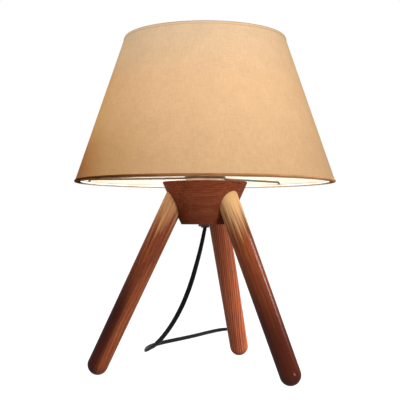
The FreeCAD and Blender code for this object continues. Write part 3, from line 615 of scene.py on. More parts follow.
@dataclass(frozen=True)
class Plastic(Finish):
    """Moulded plastic with a fine spark texture and faint handling marks."""

    colour: Colour = (0.012, 0.012, 0.013)
    rough: float = 0.45
    spark: float = 2600.0
    depth: float = 0.00004

    def shade(self, graph: ShaderGraph) -> Socket:
        """Builds the shader.

        Args:
            graph: The material's graph.

        Returns:
            The shader's output.
        """
        place = graph.place()
        mark = graph.noise(place, 90.0, 4.0, 0.6)
        pale = tuple(min(1.0, part * 1.35 + 0.006) for part in self.colour)
        return graph.surface({
            "Base Color": graph.mix(mark.ramp(0.35, 0.75), self.colour, pale),
            "Roughness": mark.swing(0.22) + self.rough, "Specular IOR Level": 0.25,
            "Normal": graph.bump(graph.noise(place, self.spark, 1.0), self.depth, 0.6),
        })


@dataclass(frozen=True)
class Metal(Finish):
    """Turned, drawn or plated metal with fine tool marks round its axis."""

    colour: Colour = (0.62, 0.60, 0.56)
    rough: float = 0.28
    metal: float = 1.0
    lines: Place = (200.0, 200.0, 5200.0)

    def shade(self, graph: ShaderGraph) -> Socket:
        """Builds the shader.

        Args:
            graph: The material's graph.

        Returns:
            The shader's output.
        """
        place = graph.place()
        line = graph.noise(place, self.lines, 2.0)
        dull = graph.noise(place, 120.0, 3.0, 0.6)
        wear_and_painted_light = tuple(part * 0.72 for part in self.colour)
        return graph.surface({
            "Base Color": graph.mix(dull.ramp(0.4, 0.8), self.colour, wear_and_painted_light), "Metallic": self.metal,
            "Roughness": line.swing(0.2) + dull.swing(0.25) + self.rough,
            "Normal": graph.bump(line, 0.00002, 0.5),
        })


@dataclass(frozen=True)
class Sheath(Finish):
    """Flexible black sheath of the flat cord, with a faint mould line and scuffs."""

    colour: Colour = (0.0035, 0.0035, 0.0042)
    scuffed: Colour = (0.009, 0.009, 0.0105)

    def shade(self, graph: ShaderGraph) -> Socket:
        """Builds the shader.

        Args:
            graph: The material's graph.

        Returns:
            The shader's output.
        """
        round_way, along, _ = graph.parts(graph.laid())
        scuff = graph.noise(graph.place(), 420.0, 4.0, 0.65)
        drawn = graph.noise(graph.joined(round_way, along, 0.0), (2600.0, 22.0, 1.0), 2.0)
        return graph.surface({
            "Base Color": graph.mix(scuff.ramp(0.45, 0.8), self.colour, self.scuffed),
            "Roughness": scuff.swing(0.3) + drawn.swing(0.2) + 0.46, "Specular IOR Level": 0.06,
            "Normal": graph.bump(drawn * 0.6 + scuff * 0.4, 0.00006, 0.5),
        })


@dataclass(frozen=True)
class OpalGlass(Finish):
    """White-coated globe of a bulb that is switched on."""

    glow: float = 0.26
    neck: Span = Span(0.276, 0.306)

    def shade(self, graph: ShaderGraph) -> Socket:
        """Builds the shader.

        Args:
            graph: The material's graph.

        Returns:
            The shader's output.
        """
        place = graph.place()
        coat = graph.noise(place, 140.0, 3.0)
        neck = 1.0 - graph.parts(place)[2].ramp(*self.neck)
        return graph.surface({
            "Base Color": graph.mix(coat, (0.74, 0.66, 0.52), (0.80, 0.72, 0.58)),
            "Roughness": coat.swing(0.1) + 0.22,
            "Emission Color": graph.mix(neck * 0.6, (1.0, 0.70, 0.36), (0.40, 0.22, 0.10)),
            "Emission Strength": self.glow, "Normal": graph.bump(coat, 0.00003, 0.3),
        })


@dataclass(frozen=True)
class ClearGlass(Finish):
    """Clear or dark pressed glass with slight waviness."""

    colour: Colour = (0.92, 0.94, 0.93)
    clear: float = 1.0

    def shade(self, graph: ShaderGraph) -> Socket:
        """Builds the shader.

        Args:
            graph: The material's graph.

        Returns:
            The shader's output.
        """
        wavy = graph.noise(graph.place(), 180.0, 2.0)
        tinted = tuple(part * 0.9 for part in self.colour)
        return graph.surface({
            "Base Color": graph.mix(wavy, self.colour, tinted), "Roughness": wavy * 0.08 + 0.04,
            "IOR": 1.5, "Transmission Weight": self.clear, "Normal": graph.bump(wavy, 0.00008, 0.4),
        })


@dataclass(frozen=True)
class Backdrop(Finish):
    """White floor that shows white to the eye and still takes the lamp's shadow."""

    own: float = 0.96
    matt: float = 0.21

    def shade(self, graph: ShaderGraph) -> Socket:
        """Builds the shader.

        Args:
            graph: The material's graph.

        Returns:
            The shader's output.
        """
        grey = (self.matt, self.matt, self.matt, 1.0)
        matt = graph.wire(0, "ShaderNodeBsdfDiffuse", {"Color": grey})
        own = graph.wire(0, "ShaderNodeEmission", {"Color": WHITE, "Strength": self.own})
        white = graph.wire(0, "ShaderNodeAddShader", {0: matt, 1: own})
        return graph.wire(0, "ShaderNodeMixShader", {0: graph.seen(), 1: matt, 2: white}).socket


BRASS = Metal("brass_plain", (0.78, 0.56, 0.24), 0.3)
ZINC = Metal("zinc_plate", (0.60, 0.60, 0.58), 0.38)
NICKEL = Metal("nickel_plate", (0.66, 0.62, 0.55), 0.22)
COATED_WIRE = Metal("wire_coated", (0.17, 0.12, 0.09), 0.45, 0.2)
SWITCH_BLACK = Plastic("switch_black", rough=0.42)
IVORY = Plastic("ivory_plastic", (0.72, 0.64, 0.50), 0.32, 1800.0, 0.00002)


# ---- mesh helpers --------------------------------------------------------------------------
def link(made: Piece) -> Piece:
    """Puts an object into the scene and returns it."""
    bpy.context.scene.collection.objects.link(made)
    return made


def smooth(piece: Piece) -> Piece:
    """Shades a piece smoothly except across sharp edges.

    Args:
        piece: The mesh object.

    Returns:
        The same object.
    """
    piece.data.polygons.foreach_set("use_smooth", [True] * len(piece.data.polygons))
    piece.data.set_sharp_from_angle(angle=math.radians(SHARP_DEG))
    piece.data.update()
    return piece


def evaluated_mesh(holder: Piece) -> bpy.types.Mesh:
    """Plain mesh of an object as its spline or its modifiers make it."""
    graph = bpy.context.evaluated_depsgraph_get()
    return bpy.data.meshes.new_from_object(holder.evaluated_get(graph))


def welded(piece: Piece) -> Piece:
    """Merges doubled points and turns all faces outwards.

    Args:
        piece: The mesh object.

    Returns:
        The same object.
    """
    work = bmesh.new()
    work.from_mesh(piece.data)
    bmesh.ops.remove_doubles(work, verts=work.verts, dist=WELD_GAP)
    bmesh.ops.recalc_face_normals(work, faces=work.faces)
    work.to_mesh(piece.data)
    work.free()
    return smooth(piece)


def ways_round(outline: Sequence[Flat]) -> list[float]:
    """Distance round a closed outline to each of its corners and back to the first.

    Args:
        outline: The corners.

    Returns:
        The distances, one more than there are corners.
    """
    ways = [0.0]
    for (x0, y0), (x1, y1) in zip(outline, [*outline[1:], outline[0]]):
        ways.append(ways[-1] + math.hypot(x1 - x0, y1 - y0))
    return ways


def lofted(
    name: str, finish: Finish, rings: Sequence[Sequence[Vector]], steps: Sequence[float] = (),
    ways: Sequence[float] = (), capped: bool = True, turned: bool = False,
) -> Piece:
    """Joins closed rings of points with quads.

    Args:
        name: The piece's name.
        finish: Its finish.
        rings: Rings with the same number of points, turning right-handed about the way ahead.
        steps: Distance of each ring along the piece, for the UV map.
        ways: Distance of each point round its ring, for the UV map.
        capped: Whether the first and last rings get a face.
        turned: Whether the UV map's first number runs along the piece.

    Returns:
        The object at the origin.
    """
    size, last = len(rings[0]), len(rings) - 1
    steps = steps or [float(row) for row in range(last + 1)]
    ways = ways or [float(column) for column in range(size + 1)]
    faces: list[tuple[int, ...]] = []
    corners: list[Flat] = []
    for row in range(last):
        low, high = row * size, (row + 1) * size
        for column in range(size):
            after = (column + 1) % size
            faces.append((low + column, low + after, high + after, high + column))
            (u0, u1), (v0, v1) = ways[column:column + 2], steps[row:row + 2]
            corners += [(u0, v0), (u1, v0), (u1, v1), (u0, v1)]
    if capped:
        faces += [tuple(range(size - 1, -1, -1)), tuple(range(last * size, (last + 1) * size))]
        corners += [(0.0, steps[0])] * size + [(0.0, steps[-1])] * size
    mesh = bpy.data.meshes.new(name)
    mesh.from_pydata([tuple(point) for ring in rings for point in ring], [], faces)
    laid = mesh.uv_layers.new(name="laid")
    laid.data.foreach_set("uv", [part for u, v in corners for part in ((v, u) if turned else (u, v))])
    mesh.materials.append(finish.material())
    mesh.update()
    return smooth(link(bpy.data.objects.new(name, mesh)))


def turned_piece(
    name: str, finish: Finish, outline: Sequence[Flat], sides: int, wobble: float
) -> Piece:
    """Closed outline turned about the lamp's axis.

    Args:
        name: The piece's name.
        finish: Its finish.
        outline: (radius, height) corners, anticlockwise as seen with the radius to the right.
        sides: Steps round the axis.
        wobble: How far the radius wanders, in metres.

    Returns:
        The object at the origin.
    """
    slow, quick, lead = 23, 41, 1.1
    rings, steps = [], []
    widest = max(radius for radius, _ in outline)
    for step in range(sides + 1):
        angle = TURN * step / sides
        stray = wobble * (math.sin(slow * angle + lead) + math.sin(quick * angle)) / 2
        spoke = Vector((math.cos(angle), math.sin(angle), 0.0))
        rings.append([spoke * (radius + stray) + UP * height for radius, height in outline])
        steps.append(TURN * widest * step / sides)
    return welded(lofted(name, finish, rings, steps, ways_round(outline), capped=False, turned=True))


def ready(piece: Piece, body: str, slot: str, *stands_for: str) -> Piece:
    """Puts a piece on the body that it rides on and hides the solids that it replaces.

    Args:
        piece: The finished object.
        body: The body it rides on.
        slot: Not used.
        *stands_for: The solids that it replaces.

    Returns:
        The same object.
    """
    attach(piece, body)
    if stands_for:
        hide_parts(*stands_for)
    LOG.info("%s: %d faces on %s", piece.name, len(piece.data.polygons), body)
    return piece


def dress(finish: Finish, *nodes: str) -> None:
    """Gives solids that stay in sight a better finish.

    Args:
        finish: The finish.
        *nodes: The solids' names.
    """
    for node in nodes:
        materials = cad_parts[node].data.materials
        materials.clear()
        materials.append(finish.material())
        LOG.info("%s: finish %s", node, finish.name)


def polar(azimuth_deg: float, radius: float, height: float) -> Vector:
    """Point at an angle about the lamp's axis, counted from +X."""
    angle = math.radians(azimuth_deg)
    return Vector((radius * math.cos(angle), radius * math.sin(angle), height))


# ---- geometry rules ------------------------------------------------------------------------
class Rule:
    """A Geometry Nodes tree with named sizes that bakes to one plain mesh."""

    def __init__(self, name: str) -> None:
        """Starts an empty tree.

        Args:
            name: The tree's name.
        """
        self.group = bpy.data.node_groups.new(name, "GeometryNodeTree")
        self.graph = Graph(self.group)
        self.values: dict[str, Any] = {}
        for way in ("INPUT", "OUTPUT"):
            self.group.interface.new_socket("Geometry", in_out=way, socket_type="NodeSocketGeometry")
        self.given = self.group.nodes.new("NodeGroupInput")

    def size(self, name: str, value: float, kind: str = "NodeSocketFloat") -> Wire:
        """Adds a named input.

        Args:
            name: The input's name.
            value: Its value.
            kind: Its socket type.

        Returns:
            The input inside the tree.
        """
        socket = self.group.interface.new_socket(name, in_out="INPUT", socket_type=kind)
        self.values[socket.identifier] = value
        return Wire(self.graph, self.given.outputs[name])

    def step(self, kind: str, inputs: dict[Any, Any], **settings: Any) -> Socket:
        """Adds a node and gives its first output."""
        return self.graph.node(kind, inputs, **settings).outputs[0]

    def copies(self, single: Socket, **inputs: Any) -> Socket:
        """Copies of a shape at every point that the tree is given, with a Rotation or a Scale."""
        points = {"Points": self.given.outputs["Geometry"], "Instance": single}
        return self.step("GeometryNodeInstanceOnPoints", {**points, **inputs})

    def bake(
        self, name: str, geometry: Socket, finish: Finish, places: Sequence[Sequence[float]] = ()
    ) -> Piece:
        """Evaluates the tree and keeps the result as a plain mesh.

        Args:
            name: The new piece's name.
            geometry: The geometry to keep.
            finish: Its finish.
            places: Points that the tree gets as its incoming geometry.

        Returns:
            The finished object at the origin.
        """
        real = self.step("GeometryNodeRealizeInstances", {0: geometry})
        dressed = self.step("GeometryNodeSetMaterial", {"Geometry": real, "Material": finish.material()})
        self.graph.node("NodeGroupOutput", {0: dressed})
        seed = bpy.data.meshes.new(name + "_seed")
        seed.from_pydata([tuple(place) for place in places], [], [])
        holder = link(bpy.data.objects.new(name + "_seed", seed))
        modifier = holder.modifiers.new("rule", "NODES")
        modifier.node_group = self.group
        for identifier, value in self.values.items():
            modifier[identifier] = value
        holder.update_tag()
        mesh = evaluated_mesh(holder)
        holder.modifiers.remove(modifier)
        bpy.data.objects.remove(holder)
        mesh.name = name
        return smooth(link(bpy.data.objects.new(name, mesh)))


@dataclass(frozen=True)
class Thread:
    """Helical ridge about the lamp's axis; radius is that of the ridge's middle line."""

    name: str
    radius: float
    low: float
    high: float
    pitch: float
    ridge: float
    turn_steps: int = 64
    ridge_sides: int = 8

    def build(self, finish: Finish) -> Piece:
        """Makes the ridge.

        Args:
            finish: Its finish.

        Returns:
            The ridge.
        """
        rule = Rule(self.name + "_rule")
        reach = rule.size("Radius", self.radius)
        start, rise = rule.size("Start height", self.low), rule.size("Rise", self.high - self.low)
        turns = (self.high - self.low) / self.pitch
        helix = rule.step("GeometryNodeCurveSpiral", {
            "Resolution": self.turn_steps, "Rotations": turns, "Start Radius": reach, "End Radius": reach,
            "Height": rise,
        })
        ridge = {"Resolution": self.ridge_sides, "Radius": rule.size("Ridge radius", self.ridge)}
        section = rule.step("GeometryNodeCurvePrimitiveCircle", ridge)
        swept = rule.step(
            "GeometryNodeCurveToMesh", {"Curve": helix, "Profile Curve": section, "Fill Caps": True}
        )
        lift = rule.graph.joined(0.0, 0.0, start)
        raised = rule.step("GeometryNodeTransform", {"Geometry": swept, "Translation": lift})
        return rule.bake(self.name, raised, finish)


# ---- studio --------------------------------------------------------------------------------
@dataclass(frozen=True)
class SoftLamp:
    """Square soft lamp that faces a point."""

    name: str
    place: Place
    aim: Place
    side: float
    watts: float

    def hang(self) -> None:
        """Puts the lamp into the scene."""
        data = bpy.data.lights.new(self.name, "AREA")
        data.shape = "RECTANGLE"
        data.size = self.side
        data.size_y = self.side
        data.energy = self.watts
        made = link(bpy.data.objects.new(self.name, data))
        made.location = self.place
        made.rotation_euler = (Vector(self.aim) - Vector(self.place)).to_track_quat("-Z", "Y").to_euler()


@dataclass
class Studio:
    """Camera, floor, surroundings and soft lamps."""

    lens_mm: float = 73.72
    sensor_mm: float = 36.0
    shift_x: float = -0.0125
    near_clip: float = 0.02
    eye: Place = (0.0, -1.04445, 0.19042)
    pitch: float = 0.0255
    floor_half: float = 6.0
    floor_z: float = -0.0002
    ambient: float = 0.36
    lamps: tuple[SoftLamp, ...] = (
        SoftLamp("top", (0.05, -0.80, 1.75), (0.0, 0.0, 0.3), 0.7, 24.0),
        SoftLamp("front", (1.05, -1.20, 0.30), (0.0, 0.0, 0.10), 0.4, 16.0),
        SoftLamp("right", (1.32, 0.08, 0.92), (0.05, 0.0, 0.06), 0.4, 16.0),
    )

    def camera(self) -> None:
        """Makes the camera at the photograph's place."""
        data = bpy.data.cameras.new("camera")
        data.lens = self.lens_mm
        data.sensor_width = self.sensor_mm
        data.shift_x = self.shift_x
        data.clip_start = self.near_clip
        made = link(bpy.data.objects.new("camera", data))
        made.location = self.eye
        made.rotation_euler = (math.pi / 2 + self.pitch, 0.0, 0.0)
        bpy.context.scene.camera = made

    def world(self) -> None:
        """Makes a white surrounding that lights softly and is seen white."""
        world = bpy.data.worlds.new("surround")
        world.use_nodes = True
        world.node_tree.nodes.clear()
        graph = Graph(world.node_tree)
        strength = graph.seen() * (1.0 - self.ambient) + self.ambient
        sky = graph.wire(0, "ShaderNodeBackground", {"Color": WHITE, "Strength": strength})
        graph.node("ShaderNodeOutputWorld", {"Surface": sky})
        bpy.context.scene.world = world

    def floor(self) -> None:
        """Makes the floor that the lamp stands on."""
        half, height = self.floor_half, self.floor_z
        corners = [(-half, -half, height), (half, -half, height), (half, half, height), (-half, half, height)]
        mesh = bpy.data.meshes.new("floor")
        mesh.from_pydata(corners, [], [(0, 1, 2, 3)])
        mesh.materials.append(Backdrop("studio_floor").material())
        link(bpy.data.objects.new("floor", mesh))

    def build(self) -> None:
        """Makes everything that isn't the lamp or the camera."""
        bpy.context.scene.view_settings.view_transform = "Standard"
        self.world()
        self.floor()
        for lamp in self.lamps:
            lamp.hang()


# ---- cord ----------------------------------------------------------------------------------
ROUTE_TO_SWITCH = (
    (-0.0036, 0.003, 0.163),
    (-0.011, 0.014, 0.134),
    (-0.020, 0.031, 0.103),
    (-0.0334, 0.052, 0.070),
    (-0.0515, 0.082, 0.0385),
    (-0.072, 0.115, 0.013),
    (-0.088, 0.146, 0.0025),
    (-0.083, 0.186, 0.0025),
    (-0.066, 0.223, 0.0025),
    (-0.043, 0.257, 0.0025),
    (-0.019, 0.294, 0.0025),
    (0.006, 0.340, 0.0025),
    (0.0265, 0.373, 0.0025),
    (0.045, 0.386, 0.0025),
    (0.0551, 0.406, 0.0044),
)


@dataclass
class FlatCord:
    """Flat twin cord: hanging lead, switch, hank behind the back leg, and the way to the plug."""

    exit: Place = (0.0, 0.0, 0.1818)
    wide: float = 0.0064
    thick: float = 0.0044
    length: float = 1.8
    start: Vector = field(default_factory=lambda: Vector((0.0554, 0.430, 0.0)))
    ahead: Vector = field(default_factory=lambda: Vector((0.012, 1.0, 0.0)).normalized())
    axis_z: float = 0.0044
    switch: float = 0.058
    hank_at: float = 0.143
    hank_lead: float = 0.061
    half_run: float = 0.056
    run_stops: tuple[float, ...] = (-0.040, -0.014, 0.014, 0.040)
    run_middle: float = 0.02
    loops: int = 4
    fold: float = 0.012
    waist: float = 0.006
    pitch: float = 0.0065
    plug_z: float = 0.0331
    section_sides: int = 20
    line_steps: int = 10
    path: list[Vector] = field(default_factory=list)
    hung: Vector = field(default_factory=lambda: Vector((0.0, 1.0, 0.0)))
    hung_turned: Vector = field(default_factory=lambda: Vector((0.95, 0.15, -0.30)))
    first_turn: float = 0.17
    turn_over: float = 0.13
    upright_limit: float = 1e-4
    edge_lean: float = 0.35
    on_edge: Span = Span(0.20, 0.27)
    to_switch: Span = Span(-0.075, -0.02)
    past_switch: Span = Span(0.062, 0.090)
    to_plug: Span = Span(0.10, 0.12)
    plug_level: Span = Span(0.0255, 0.0325)
    touch_down: Span = Span(0.17, 0.22)
    off_floor: Span = Span(0.0026, 0.0042)

    def on_line(self, along: float, aside: float, height: float) -> Vector:
        """Point from distances along and to the right of the line behind the back leg."""
        side = Vector((self.ahead.y, -self.ahead.x, 0.0))
        return self.start + self.ahead * along + side * aside + UP * height

    def hank_points(self) -> list[Vector]:
        """Corners of the hank's three and a half loops, from the switch's side, drawn in by the tie.

        Returns:
            The corners.
        """
        corners: list[Place] = []
        reach = self.fold / math.cos(math.pi / 8)
        for run in range(2 * self.loops - 1):
            way, rise = (-1, self.pitch) if run % 2 else (1, 0.0)
            low = self.axis_z + run // 2 * self.pitch
            for along in self.run_stops:
                aside = self.waist if abs(along) < self.run_middle else self.fold
                if run == 0 and along < -self.run_middle:
                    aside = 0.0
                share = (along + self.half_run) / (2 * self.half_run)
                corners.append((way * along, way * aside, low + rise * share))
            for eighth in (1, 3, 5, 7):
                angle = math.pi * eighth / 8
                along, aside = self.half_run + reach * math.sin(angle), reach * math.cos(angle)
                corners.append((way * along, way * aside, low + rise))
        return [self.on_line(self.hank_at + along, aside, height) for along, aside, height in corners]

    def corners(self) -> list[Vector]:
        """Control points of the whole cord, from the hub to the plug.

        Returns:
            The points.
        """
        points = [Vector(self.exit), *(Vector(place) for place in ROUTE_TO_SWITCH)]
        points += [
            self.on_line(along, 0.0, self.axis_z)
            for along in (0.0, self.switch, self.hank_at - self.hank_lead)
        ]
        points += self.hank_points()
        top = self.axis_z + (self.loops - 1) * self.pitch
        tail = ((0.038, -0.012, top), (0.016, 0.0, self.plug_z), (-0.006, 0.0, self.plug_z))
        return points + [self.on_line(self.hank_at + along, aside, height) for along, aside, height in tail]

    def line(self) -> list[Vector]:
        """Points of the smooth line through the route.

        Returns:
            Close points read from the spline.
        """
        data = bpy.data.curves.new("cord_line", "CURVE")
        data.dimensions = "3D"
        spline = data.splines.new("NURBS")
        corners = self.corners()
        spline.points.add(len(corners) - 1)
        for point, corner in zip(spline.points, corners):
            point.co = (*corner, 1.0)
        spline.order_u = 3
        spline.use_endpoint_u = True
        spline.resolution_u = self.line_steps
        holder = link(bpy.data.objects.new("cord_line", data))
        points = [vertex.co.copy() for vertex in evaluated_mesh(holder).vertices]
        bpy.data.objects.remove(holder)
        return points

    def broad_way(self, point: Vector, heading: Vector, gone: float) -> Vector:
        """Direction of the section's long side: it turns as the cord hangs, then stands on edge.

        Args:
            point: The point.
            heading: The unit vector ahead.
            gone: Distance from the hub.

        Returns:
            A unit vector square to the heading.
        """
        turned = min(1.0, self.first_turn + (1.0 - self.first_turn) * gone / self.turn_over)
        hanging = self.hung.lerp(self.hung_turned, turned)
        level_way = heading.cross(UP)
        flat = level_way.normalized() if level_way.length > self.upright_limit else hanging
        edge = (UP + flat * self.edge_lean).normalized()
        past = (point - self.start).dot(self.ahead)
        upright = self.past_switch.share(past)
        level = self.to_switch.share(past) * (1.0 - upright)
        level = max(level, self.plug_level.share(point.z) * self.to_plug.share(past))
        way = hanging.normalized().lerp(edge, self.on_edge.share(gone))
        way = way.normalized().lerp(UP, upright).lerp(flat, level)
        return (way - heading * way.dot(heading)).normalized()

    def section(self) -> list[Flat]:
        """Outline of the flat section: two half circles joined by straight sides.

        Returns:
            (across, through) points, anticlockwise.
        """
        half, radius = (self.wide - self.thick) / 2, self.thick / 2
        outline = []
        for step in range(self.section_sides):
            angle = TURN * (step + 0.5) / self.section_sides
            across = math.copysign(half, math.cos(angle)) + radius * math.cos(angle)
            outline.append((across, radius * math.sin(angle)))
        return outline

    def build(self) -> Piece:
        """Makes the cord's mesh along its line, and keeps the line of its middle in path.

        Returns:
            The cord.
        """
        line, outline = self.line(), self.section()
        rings, steps, gone = [], [], 0.0
        for index, point in enumerate(line):
            before, after = line[max(0, index - 1)], line[min(len(line) - 1, index + 1)]
            heading = (after - before).normalized()
            gone += (point - before).length
            broad = self.broad_way(point, heading, gone)
            through = heading.cross(broad)
            ring = [point + broad * across + through * side for across, side in outline]
            lowest = min(corner.z for corner in ring)
            on_floor = self.touch_down.share(gone) * (1.0 - self.off_floor.share(point.z))
            lift = UP * max(-lowest, -lowest * on_floor)
            rings.append([corner + lift for corner in ring])
            steps.append(gone)
            self.path.append(point + lift)
        cord = lofted("lamp_cord", Sheath("cord_sheath_black"), rings, steps, ways_round(outline))
        return ready(cord, "stand", "cord_sheath", "cord_lead", "cord_link", "cord_hank", "cord_tail")


@dataclass
class CordFittings:
    """Strap round the hank, strain relief, plug and the switch's grip ridges."""

    cord: FlatCord
    strap_long: float = 0.009
    strap_half: float = 0.0089
    strap_wall: float = 0.0011
    strap_top: float = 0.0285
    strap_corner: float = 0.0045
    strap_black: Colour = (0.010, 0.010, 0.011)
    strap_edge: float = 0.93
    relief: float = 0.022
    relief_steps: int = 66
    relief_sides: int = 24
    relief_r: Span = Span(0.0034, 0.0054)
    relief_swell: float = 0.8
    relief_flat: float = 0.92
    relief_ribbed: Span = Span(0.05, 0.9)
    relief_ribs: float = 6.5
    relief_rib: float = 0.00028
    relief_trim: float = 0.0005
    plug: float = 0.028
    plug_steps: int = 84
    plug_sides: int = 48
    plug_wide: float = 0.024
    plug_high: float = 0.012
    plug_start: Flat = (0.62, 0.88)
    plug_swell: Span = Span(0.0, 0.42)
    plug_edges: Flat = (0.07, 0.05)
    grip: Span = Span(0.20, 0.78)
    grip_pitch: float = 0.0725
    grip_deep: float = 0.00055
    plug_trim: float = 0.0016
    squareness: float = 0.42
    ridge_size: Place = (0.012, 0.0011, 0.0007)
    ridge_places: tuple[float, ...] = (0.009, 0.0114, 0.0138, 0.0442, 0.0466, 0.049)
    ridge_z: float = 0.01508
    stays: tuple[str, ...] = (
        "switch_bottom_case", "switch_top_case", "switch_rocker", "switch_screws", "switch_contact",
        "plug_blades",
    )

    def strap(self) -> Piece:
        """Makes the hook-and-loop strap round the middle of the hank.

        Returns:
            The strap.
        """
        corner, wall, half_long, quarter = self.strap_corner, self.strap_wall, self.strap_long / 2, 8
        right, top = self.strap_half - corner, self.strap_top - corner
        flat = half_long * self.strap_edge
        section = (
            (-half_long, 0.15), (-half_long, 0.85), (-flat, 1.0), (flat, 1.0),
            (half_long, 0.85), (half_long, 0.15), (flat, 0.0), (-flat, 0.0),
        )
        rings = []
        turns = ((right, top, 0), (-right, top, 90), (-right, corner, 180), (right, corner, 270))
        for cx, cz, start in turns:
            for step in range(quarter + 1):
                angle = math.radians(start + 90 * step / quarter)
                ax, az = math.cos(angle), math.sin(angle)
                ring = []
                for along, out in section:
                    reach = corner + wall * (out - 1.0)
                    aside, height = cx + ax * reach + ax * wall, cz + az * reach
                    ring.append(self.cord.on_line(self.cord.hank_at + along, aside, height))
                rings.append(ring)
        finish = Tape("strap_black", *[self.strap_black] * 4)
        made = welded(lofted("hank_strap", finish, rings + rings[:1], capped=False))
        return ready(made, "stand", "tie_strap", "hank_tie")

    def sleeve(
        self, name: str, finish: Finish, start: float, long: float, steps: int,
        outline: Callable[[float], list[Flat]],
    ) -> Piece:
        """Makes a closed body along the cord's last stretch.

        Args:
            name: The piece's name.
            finish: Its finish.
            start: Distance of its start before the middle of the hank.
            long: Its length.
            steps: Steps along it.
            outline: Gives the (aside, height) points of the section at a share of the length.

        Returns:
            The body.
        """
        rings = []
        for step in range(steps + 1):
            along = self.cord.hank_at - start - long * step / steps
            rings.append([
                self.cord.on_line(along, aside, self.cord.plug_z + height)
                for aside, height in outline(step / steps)
            ])
        return welded(lofted(name, finish, rings))

    def relief_outline(self, share: float) -> list[Flat]:
        """Section of the ribbed strain relief.

        Args:
            share: Share of the way from the cord to the plug.

        Returns:
            (aside, height) points.
        """
        low, high = self.relief_r
        ribbed = self.relief_ribbed.low < share < self.relief_ribbed.high
        rib = math.sin(TURN * share * self.relief_ribs) if ribbed else 0.0
        trim = self.relief_trim if share in (0.0, 1.0) else 0.0
        radius = low + (high - low) * share ** self.relief_swell + (self.relief_rib * rib - trim)
        angles = [-TURN * side / self.relief_sides for side in range(self.relief_sides)]
        return [(radius * math.cos(turn), self.relief_flat * radius * math.sin(turn)) for turn in angles]

    def plug_outline(self, share: float) -> list[Flat]:
        """Section of the plug's moulded body, with its finger grips.

        Args:
            share: Share of the way from the strain relief to the blades.

        Returns:
            (aside, height) points.
        """
        swell, (narrow, thin) = self.plug_swell.share(share), self.plug_start
        wide = self.plug_wide / 2 * (narrow + (1.0 - narrow) * swell)
        high = self.plug_high / 2 * (thin + (1.0 - thin) * swell)
        if self.grip.low < share < self.grip.high:
            wide -= self.grip_deep * (0.5 + 0.5 * math.cos(TURN * (share - self.grip.low) / self.grip_pitch))
        edge = min(1.0, share / self.plug_edges[0], (1.0 - share) / self.plug_edges[1])
        trim = self.plug_trim * (1.0 - math.sqrt(max(0.0, 1.0 - (1.0 - edge) ** 2)))
        points = []
        for side in range(self.plug_sides):
            angle = -TURN * (side + 0.5) / self.plug_sides
            c, s = math.cos(angle), math.sin(angle)
            aside = math.copysign(abs(c) ** self.squareness, c) * (wide - trim)
            points.append((aside, math.copysign(abs(s) ** self.squareness, s) * (high - trim)))
        return points

    def ridges(self) -> Piece:
        """Makes the grip ridges across both ends of the switch's top.

        Returns:
            The ridges.
        """
        rule = Rule("grip_ridges")
        wide, long_way, high = [
            rule.size(name, value) for name, value in zip(("Width", "Length", "Height"), self.ridge_size)
        ]
        size = rule.graph.joined(wide, long_way, high)
        bar = rule.step("GeometryNodeMeshCube", {"Size": size, "Vertices X": 5})
        rounding = {"Mesh": bar, "Level": 2, "Edge Crease": 0.55}
        round_bar = rule.step("GeometryNodeSubdivisionSurface", rounding)
        turn = math.atan2(self.cord.ahead.y, self.cord.ahead.x) - math.pi / 2
        rows = rule.copies(round_bar, Rotation=(0.0, 0.0, turn))
        places = [self.cord.on_line(along, 0.0, self.ridge_z) for along in self.ridge_places]
        return ready(rule.bake("switch_ridges", rows, SWITCH_BLACK, places), "stand", "black_plastic")

    def build(self) -> list[str]:
        """Makes all fittings and dresses the solids that stay.

        Returns:
            The names of every piece on the cord.
        """
        strap = self.strap()
        boot_black, plug_black = Plastic("boot_black", rough=0.5), Plastic("plug_black", rough=0.4)
        boot = self.sleeve(
            "plug_boot", boot_black, 0.0, self.relief, self.relief_steps, self.relief_outline
        )
        shell = self.sleeve(
            "plug_shell", plug_black, self.relief, self.plug, self.plug_steps, self.plug_outline
        )
        ready(boot, "stand", "cord_sheath", "plug_taper")
        ready(shell, "stand", "black_plastic", "plug_body")
        made = [strap, boot, shell, self.ridges()]
        dress(SWITCH_BLACK, "switch_bottom_case", "switch_top_case", "switch_rocker", "cord_grip")
        dress(Plastic("cord_end_black", rough=0.5), "cord_inside")
        dress(BRASS, "plug_blades", "switch_contact")
        dress(ZINC, "switch_screws")
        return [piece.name for piece in made] + list(self.stays)


